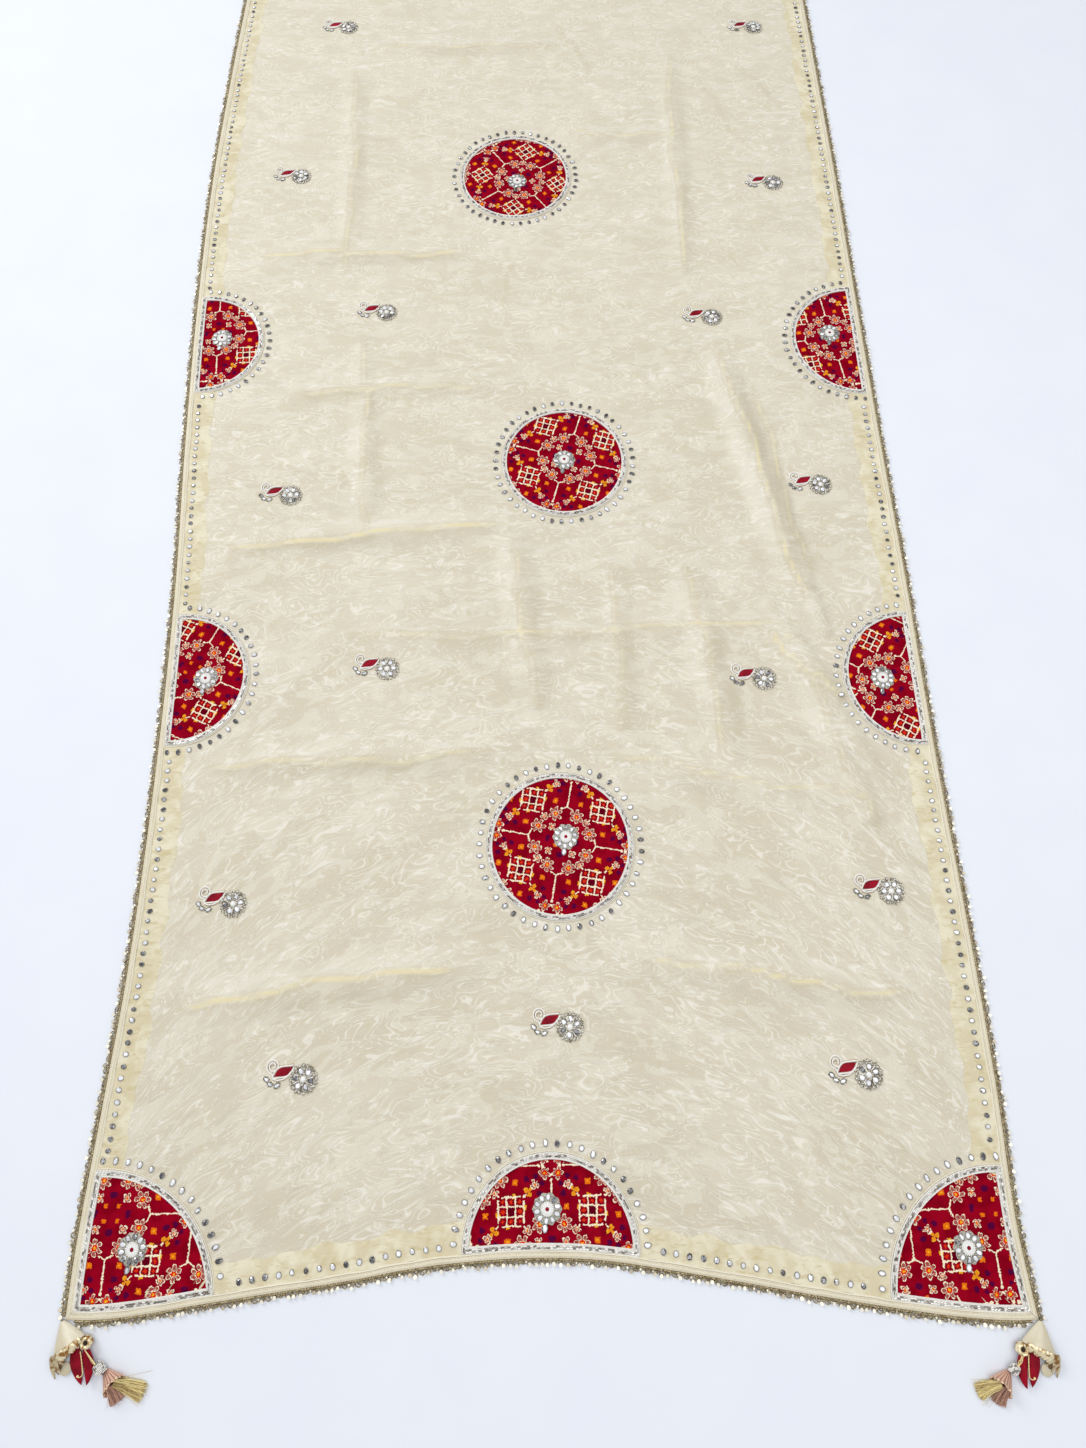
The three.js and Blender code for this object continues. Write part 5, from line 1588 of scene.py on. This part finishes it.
def gilt_petal(side, at, reach, half_wide, droop, under):
    """One cupped, pointed petal of beaten gilt, from the cone's mouth outward."""
    across = CONE["mouth"] + cone_level * at * CONE["wide"] - cone_axis * (2.2 - under)
    turn = -0.42 * at**3 + random.uniform(-0.12, 0.12)
    way = cone_axis * math.cos(turn) - cone_level * math.sin(turn)
    aside = np.array([way[1], -way[0]])
    t = np.linspace(0.0, 1.0, 8)
    s = np.linspace(-1.0, 1.0, 5)
    wide = half_wide * np.sin(math.pi * (0.16 + 0.84 * t) ** 0.8) ** 0.7 + 0.15
    top = CONE["tall"] * (1 + math.sqrt(max(0.0, 1 - min(1.0, at * at)))) + 0.9 - under * 2.0
    lift = top + 1.3 * np.sin(math.pi * t) - droop * t**1.6
    out = across[None, None, :] + way * (t * reach)[:, None, None]
    out = out + aside * (wide[:, None] * s[None, :])[:, :, None]
    z = np.maximum(lift[:, None] - 1.1 * s[None, :] ** 2 * (1 - 0.4 * t[:, None]), 0.6)
    return hang(side, "cone", out[..., 0], out[..., 1], z), net(len(t), len(s))


def make_cone(side, tassel):
    """An oval satin shell, open at its mouth, with soft folds that run down from its tip, its light and shade
    painted into its colour.
    """
    turns = around(72)
    stations = [(s, 0.0) for s in np.linspace(0.0, 1.0, 14)] + [(s, 1.0) for s in np.linspace(1.0, 0.15, 8)]
    rows, folds = [], []
    for share, inside in stations:
        wide = 2.4 + (CONE["wide"] - 2.4) * share - inside * 0.9
        tall = 2.2 + (CONE["tall"] - 2.2) * share - inside * 0.9
        sag = 1 + (0.045 * np.sin(turns * 5 + 1.0) + 0.025 * np.sin(turns * 9 + share * 3)) * share
        middle = CONE["apex"] + (CONE["mouth"] - CONE["apex"]) * share
        swollen = wide + 0.7 * math.sin(math.pi * share)
        out = middle[None, :] + cone_level[None, :] * (np.cos(turns) * swollen)[:, None]
        z = tall + 0.2 + inside * 0.9 + np.sin(turns) * tall * np.where(np.sin(turns) > 0, sag, 1.0)
        rows.append(hang(side, "cone", out[:, 0], out[:, 1], np.maximum(z, 0.25)))
        # painted light and shade for this row: lighter toward one side and on the folds' crests, 0 on the
        # inside rows
        lit_and_tone_share = 0.62 + 0.30 * np.cos(turns - 0.5) + 4.5 * (sag - 1)
        folds.append(np.clip(lit_and_tone_share, 0.0, 1.0) * (1 - inside))
    cone_pile = Pile()
    cone_pile.put(np.concatenate(rows), wrapped(len(rows), len(turns)), np.concatenate(folds[:-1]))
    cone = cone_pile.make(tassel + "_satin_cone", cone_satin, "satin", smooth=True)
    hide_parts(tassel + "_cone")


def make_gilt_trim(side, tassel):
    """Gilt petals round the mouth in two layers, and a curled cup at its inner end, with painted shadow discs
    in the cup's hollow and across the cone's mouth.
    """
    trim = Pile()
    for under in (1.0, 0.0):
        for at, reach, half_wide, droop in GILT_PETALS:
            reach_here = reach * (1 - 0.15 * under)
            points, faces = gilt_petal(side, at + 0.085 * under, reach_here, half_wide, droop, under)
            # painted shade: the lower layer is painted darker, as in the shade of the upper; the long petals
            # at the outer end are darker too, and each face varies at random
            hammered = np.random.default_rng(3).uniform(-0.2, 0.1, len(faces))
            trim.put(points, faces, np.clip(0.95 - 0.55 * under - 0.3 * (at < -0.6) + hammered, 0, 1))
    turns = around(28)
    cup = []
    for radius, height in CUP_SECTION:
        wave = radius * (1 + 0.07 * np.cos(turns * 6))
        cup_in, cup_out = CUP[0] + wave * np.cos(turns), CUP[1] + wave * np.sin(turns)
        cup.append(hang(side, "cone", cup_in, cup_out, height))
    trim.put(np.concatenate(cup), wrapped(len(CUP_SECTION), len(turns)), 0.95)
    trim.make(tassel + "_gilt_petals", gilt_bright, "gold_thread", smooth=True)
    # painted shadow: dark discs in the cup's hole and across the cone's mouth
    dark = Pile()
    ring_points = hang(side, "cone", CUP[0] + 2.5 * np.cos(turns), CUP[1] + 2.5 * np.sin(turns), 9.6)
    dark.put(ring_points, fan(len(turns)))
    centre = CONE["mouth"] - cone_axis * 0.6
    mouth_turns = around(40)
    oval = centre[None, :] + cone_level[None, :] * (np.cos(mouth_turns) * CONE["wide"] * 0.93)[:, None]
    mouth_z = CONE["tall"] * (1 + 0.88 * np.sin(mouth_turns))
    dark.put(hang(side, "cone", oval[:, 0], oval[:, 1], mouth_z), fan(len(mouth_turns)))
    dark.make(tassel + "_painted_shadows", painted_shadow, "satin", smooth=True)
    lining = Pile()
    spot = hang(side, "cone", 15.4, 39.6, 2.2)
    lining.put(*dome(*spot, 0.0066, 0.0066, 0.0010, sides=24))
    lining.make(tassel + "_lining_disc", cone_satin, "satin", smooth=True)


# the silk petals: three places along the middle, half width, height, area of the cut silk
SILK_PETALS = (
    (((26.0, 17.5), (27.8, 33.5), (36.4, 54.5)), 7.3, 3.0, 0.00080),
    (((34.8, 16.0), (43.0, 35.0), (43.4, 54.3)), 5.7, 5.6, 0.00064),
)
PETAL_NET = (22, 11)


def make_silk_petals(side, tassel):
    """Two stuffed crimson petals."""
    for number, (line, half_wide, lift, cut_area) in enumerate(SILK_PETALS, start=1):
        petals = Pile()
        middle = middle_line(line, PETAL_NET[0])
        way = np.gradient(middle, axis=0)
        way /= np.linalg.norm(way, axis=1, keepdims=True)
        aside = np.stack([way[:, 1], -way[:, 0]], axis=-1)
        t = np.linspace(0.0, 1.0, PETAL_NET[0])[:, None]
        s = np.linspace(-1.0, 1.0, PETAL_NET[1])[None, :]
        wide = half_wide * np.clip(np.sin(math.pi * t**0.86), 0, 1) ** 0.72
        out = middle[:, None, :] + aside[:, None, :] * (wide * s)[:, :, None]
        puff = 2.3 * (1 - s**2) ** 0.7 * np.clip(np.sin(math.pi * t), 0, 1) ** 0.5
        z = lift + 0.4 + puff + 0.35 * np.sin(s * 7 + 1) * np.sin(t * 11)
        grid = hang(side, "petal", out[..., 0], out[..., 1], z)
        under = grid.copy()
        under[..., 2] = (lift - 0.5 * (1 - s**2)) / 1000 + 0 * under[..., 2]
        petals.put(grid, net(*PETAL_NET))
        petals.put(under, net(*PETAL_NET)[:, ::-1])
        petal_name = tassel + "_silk_petal_" + str(number)
        petal = petals.make(petal_name, red_silk, "red_silk", smooth=True)
        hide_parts(tassel + "_petal_" + str(number))


def make_gold_edging(side, tassel):
    """A gold thread between the petals that ends in a small bead, and the threads that hold the ball."""
    edges = Pile()
    t = np.linspace(0.0, 1.0, 15)
    for strand in (0.0, math.pi):
        seam = middle_line(((33.0, 21.0), (36.6, 34.0), (38.4, 43.5)), 15)
        twist = 0.5 * np.sin(t * 26 + strand)
        seam_line = hang(side, "petal", seam[:, 0] + twist, seam[:, 1], 9.4 - 1.5 * t)
        edges.put(*tube(seam_line, 0.00028, 5), 0.7)
    tail = middle_line(((38.4, 43.5), (35.6, 46.0), (32.4, 45.4)), 6)
    edges.put(*tube(hang(side, "petal", tail[:, 0], tail[:, 1], 7.6), 0.00045, 5), 0.8)
    bead_place = hang(side, "petal", 32.4, 45.4, 6.4)
    edges.put(*dome(*bead_place, 0.0013, 0.0013, 0.0016, sides=10, rows=3), 1.0)
    ball = hang(side, "drop", *BALL, BALL_HEIGHT)
    stem_start = hang(side, "petal", 38.5, 19.5, 10.8)
    for k in range(4):
        t = np.linspace(0.0, 1.0, 9)[:, None]
        path = stem_start * (1 - t) + (ball + [0, 0, 0.003]) * t
        run, loose = t[:, 0], np.sin(math.pi * t[:, 0])
        path[:, 0] += (0.0009 * np.sin(run * 6 + k * 1.7) + 0.0005 * (k - 1.5)) * loose
        path[:, 1] += 0.0009 * np.cos(run * 7 + k * 2.1) * loose
        edges.put(*tube(path, 0.00042, 5), 0.2 + 0.15 * k)
    edges.make(tassel + "_gold_edging", gold, "gold_thread", smooth=True)


def make_ball(side, tassel):
    """A barrel wound with rings of seed beads, which stands along the drop."""
    drop_way = np.array([0.78, 0.62])
    drop_side = np.array([drop_way[1], -drop_way[0]])
    beads, core = Pile(), Pile()
    for row in range(8):
        share = (row - 3.5) / 3.5
        ring = 5.6 * BALL_SIZE[side] * (1 - 0.30 * share**2)
        middle = np.array(BALL) + drop_way * share * BALL_HALF * BALL_SIZE[side]
        count = round(2 * math.pi * ring / 1.75)
        for k in range(count):
            turn = 2 * math.pi * (k + 0.5 * (row % 2)) / count
            out = middle + drop_side * ring * math.cos(turn)
            spot = hang(side, "drop", out[0], out[1], BALL_HEIGHT + ring * math.sin(turn))
            if spot[2] > 0.004:
                bead = dome(*(spot - [0, 0, 0.0006]), SEED_BEAD, SEED_BEAD, 0.0014, sides=6, rows=2)
                # painted glint: each bead is painted at one of four brightnesses
                beads.put(*bead, random.choice((0.25, 0.6, 0.85, 1.0)))
    turns = around(24)
    barrel = []
    for share in np.linspace(-1.12, 1.12, 9):
        ring = BALL_SIZE[side] * max(0.6, 5.2 * (1 - 0.34 * share**2) * (1.0 if abs(share) < 1.1 else 0.2))
        out = np.array(BALL) + drop_way * share * BALL_HALF * BALL_SIZE[side]
        out = out + drop_side * (ring * np.cos(turns))[:, None]
        barrel.append(hang(side, "drop", out[:, 0], out[:, 1], BALL_HEIGHT + ring * np.sin(turns)))
    core.put(np.concatenate(barrel), wrapped(len(barrel), len(turns)), 0.7)
    core_piece = core.make(tassel + "_ball_core", silver, "silver_bead", smooth=True)
    beads.make(tassel + "_seed_beads", silvered, "silver_bead", smooth=True)
    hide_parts(tassel + "_bead")


def fringe(pile, side, root, end, count, spread, width, length, thick, stray, top):
    """Loose threads from a root, fanning out and settling on the floor."""
    heading = math.atan2(end[1] - root[1], end[0] - root[0])
    for _ in range(count):
        share = random.uniform(-1, 1)
        wild = random.random() < stray
        angle = heading + share * spread / 2 + random.uniform(-0.04, 0.04)
        if wild:
            angle += random.uniform(-0.45, 0.45)
        reach = length * (random.uniform(0.84, 1.0) - 0.06 * share * share) * (1.14 if wild else 1.0)
        side_x, side_y = -math.sin(heading) * share * width, math.cos(heading) * share * width
        t = np.linspace(0.0, 1.0, 7)
        bend = random.uniform(-1.0, 1.0) * (2.6 if wild else 0.8)
        curve = bend * np.sin(math.pi * t * 0.8)
        run_in = root[0] + side_x + np.cos(angle) * reach * t - math.sin(angle) * curve
        run_out = root[1] + side_y + np.sin(angle) * reach * t + math.cos(angle) * curve
        start_z = random.uniform(1.2, top)
        end_z = random.uniform(0.5, 3.6 if not wild else 5.0)
        z = start_z + (end_z - start_z) * np.sin(math.pi * t / 2)
        line = hang(side, "drop", run_in, run_out, z)
        slim = 0.4 if wild else 1.0
        pile.put(*tube(line, thick * np.linspace(1.0, 0.7, 7) * slim, 4), random.uniform(0.0, 1.0))


# two bundles of loose threads: where each springs from and points, and how it fans out. stray is the share of
# threads that go astray, and top is the highest place that a thread starts from.
ROSE_FRINGE = {
    "root": (69.5, 55.5),
    "end": (79.2, 72.5),
    "count": 150,
    "spread": 0.42,
    "width": 5.0,
    "length": 20.5,
    "thick": 0.00032,
    "stray": 0.03,
    "top": 9.5,
}
GOLD_FRINGE = {
    "root": (75.0, 51.5),
    "end": (107.0, 64.0),
    "count": 230,
    "spread": 0.34,
    "width": 4.2,
    "thick": 0.00030,
    "stray": 0.09,
    "top": 10.5,
}


def make_rose_bell(side, tassel):
    """Stiff pleated thread, cut to points at its mouth, with gilt beads along the cut and loose threads."""
    apex, mouth = np.array([60.6, 41.6]), np.array([75.6, 55.2])
    axis = (mouth - apex) / np.linalg.norm(mouth - apex)
    level = np.array([axis[1], -axis[0]])
    turns = around(108)
    pleat = np.cos(turns * 18)
    cut = 1.0 - 0.26 * np.clip(np.sin(turns), 0.0, 1.0) ** 0.8 + 0.09 * np.abs(np.cos(turns * 3.5))
    bell_rows = []
    for share in (0.0, 0.06, 0.16, 0.30, 0.5, 0.75, 1.0):
        radius = (2.2 + 11.6 * share**0.85) + 0.34 * pleat * share**0.5
        middle = apex[None, :] + (mouth - apex)[None, :] * (share * (1 + (cut - 1) * share))[:, None]
        out = middle + level[None, :] * (np.cos(turns) * radius)[:, None]
        z = np.maximum(0.3 + 0.6 * (2.2 + 11.0 * share**0.85) + 0.58 * np.sin(turns) * radius, 0.3)
        bell_rows.append(hang(side, "drop", out[:, 0], out[:, 1], z))
    # painted shade: the pleats' folds are painted darker and their crests lighter
    tones = np.tile(np.clip(0.55 + 0.45 * pleat, 0, 1), len(bell_rows) - 1)
    rose_pile = Pile()
    rose_pile.put(np.concatenate(bell_rows), wrapped(len(bell_rows), len(turns)), tones)
    gilt_pile = Pile()
    for turn in (0.35, 0.75, 1.15, 1.55, 1.95, 2.4, 2.8):
        bead_cut = 1.0 - 0.26 * math.sin(turn) ** 0.8
        spot_in = apex + (mouth - apex) * bead_cut + level * math.cos(turn) * 12.2
        spot = hang(side, "drop", spot_in[0], spot_in[1], 8.3 + 7.2 * math.sin(turn))
        gilt_pile.put(*dome(*spot, 0.0011, 0.0011, 0.0012, sides=8, rows=3), 1.0)
    gilt_pile.make(tassel + "_bell_beads", gilt_bright, "gold_thread", smooth=True)

    fringe(rose_pile, side, **ROSE_FRINGE)
    rose_piece = rose_pile.make(tassel + "_rose_threads", rose, "rose_thread", smooth=True)
    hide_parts(tassel + "_rose")


def make_gold_threads(side, tassel):
    """A bundle of pale gold threads beside the bell."""
    gold_pile = Pile()
    fringe(gold_pile, side, length=GOLD_LENGTH[side], **GOLD_FRINGE)
    gold_piece = gold_pile.make(tassel + "_gold_threads", gold, "gold_thread", smooth=True)
    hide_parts(tassel + "_gold")


for side in ("left", "right"):
    tassel = "tassel_" + side
    make_cone(side, tassel)
    make_gilt_trim(side, tassel)
    make_silk_petals(side, tassel)
    make_gold_edging(side, tassel)
    make_ball(side, tassel)
    make_rose_bell(side, tassel)
    make_gold_threads(side, tassel)

# ---- Finish ----
# Everything that is sewn to the cloth goes with it, and the boxes of the solids and of the dressed saree are
# set side by side.
boxes = {"cad": cad_box, "visual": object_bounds()}
boxes = {name: [list(map(float, corner)) for corner in box] for name, box in boxes.items()}
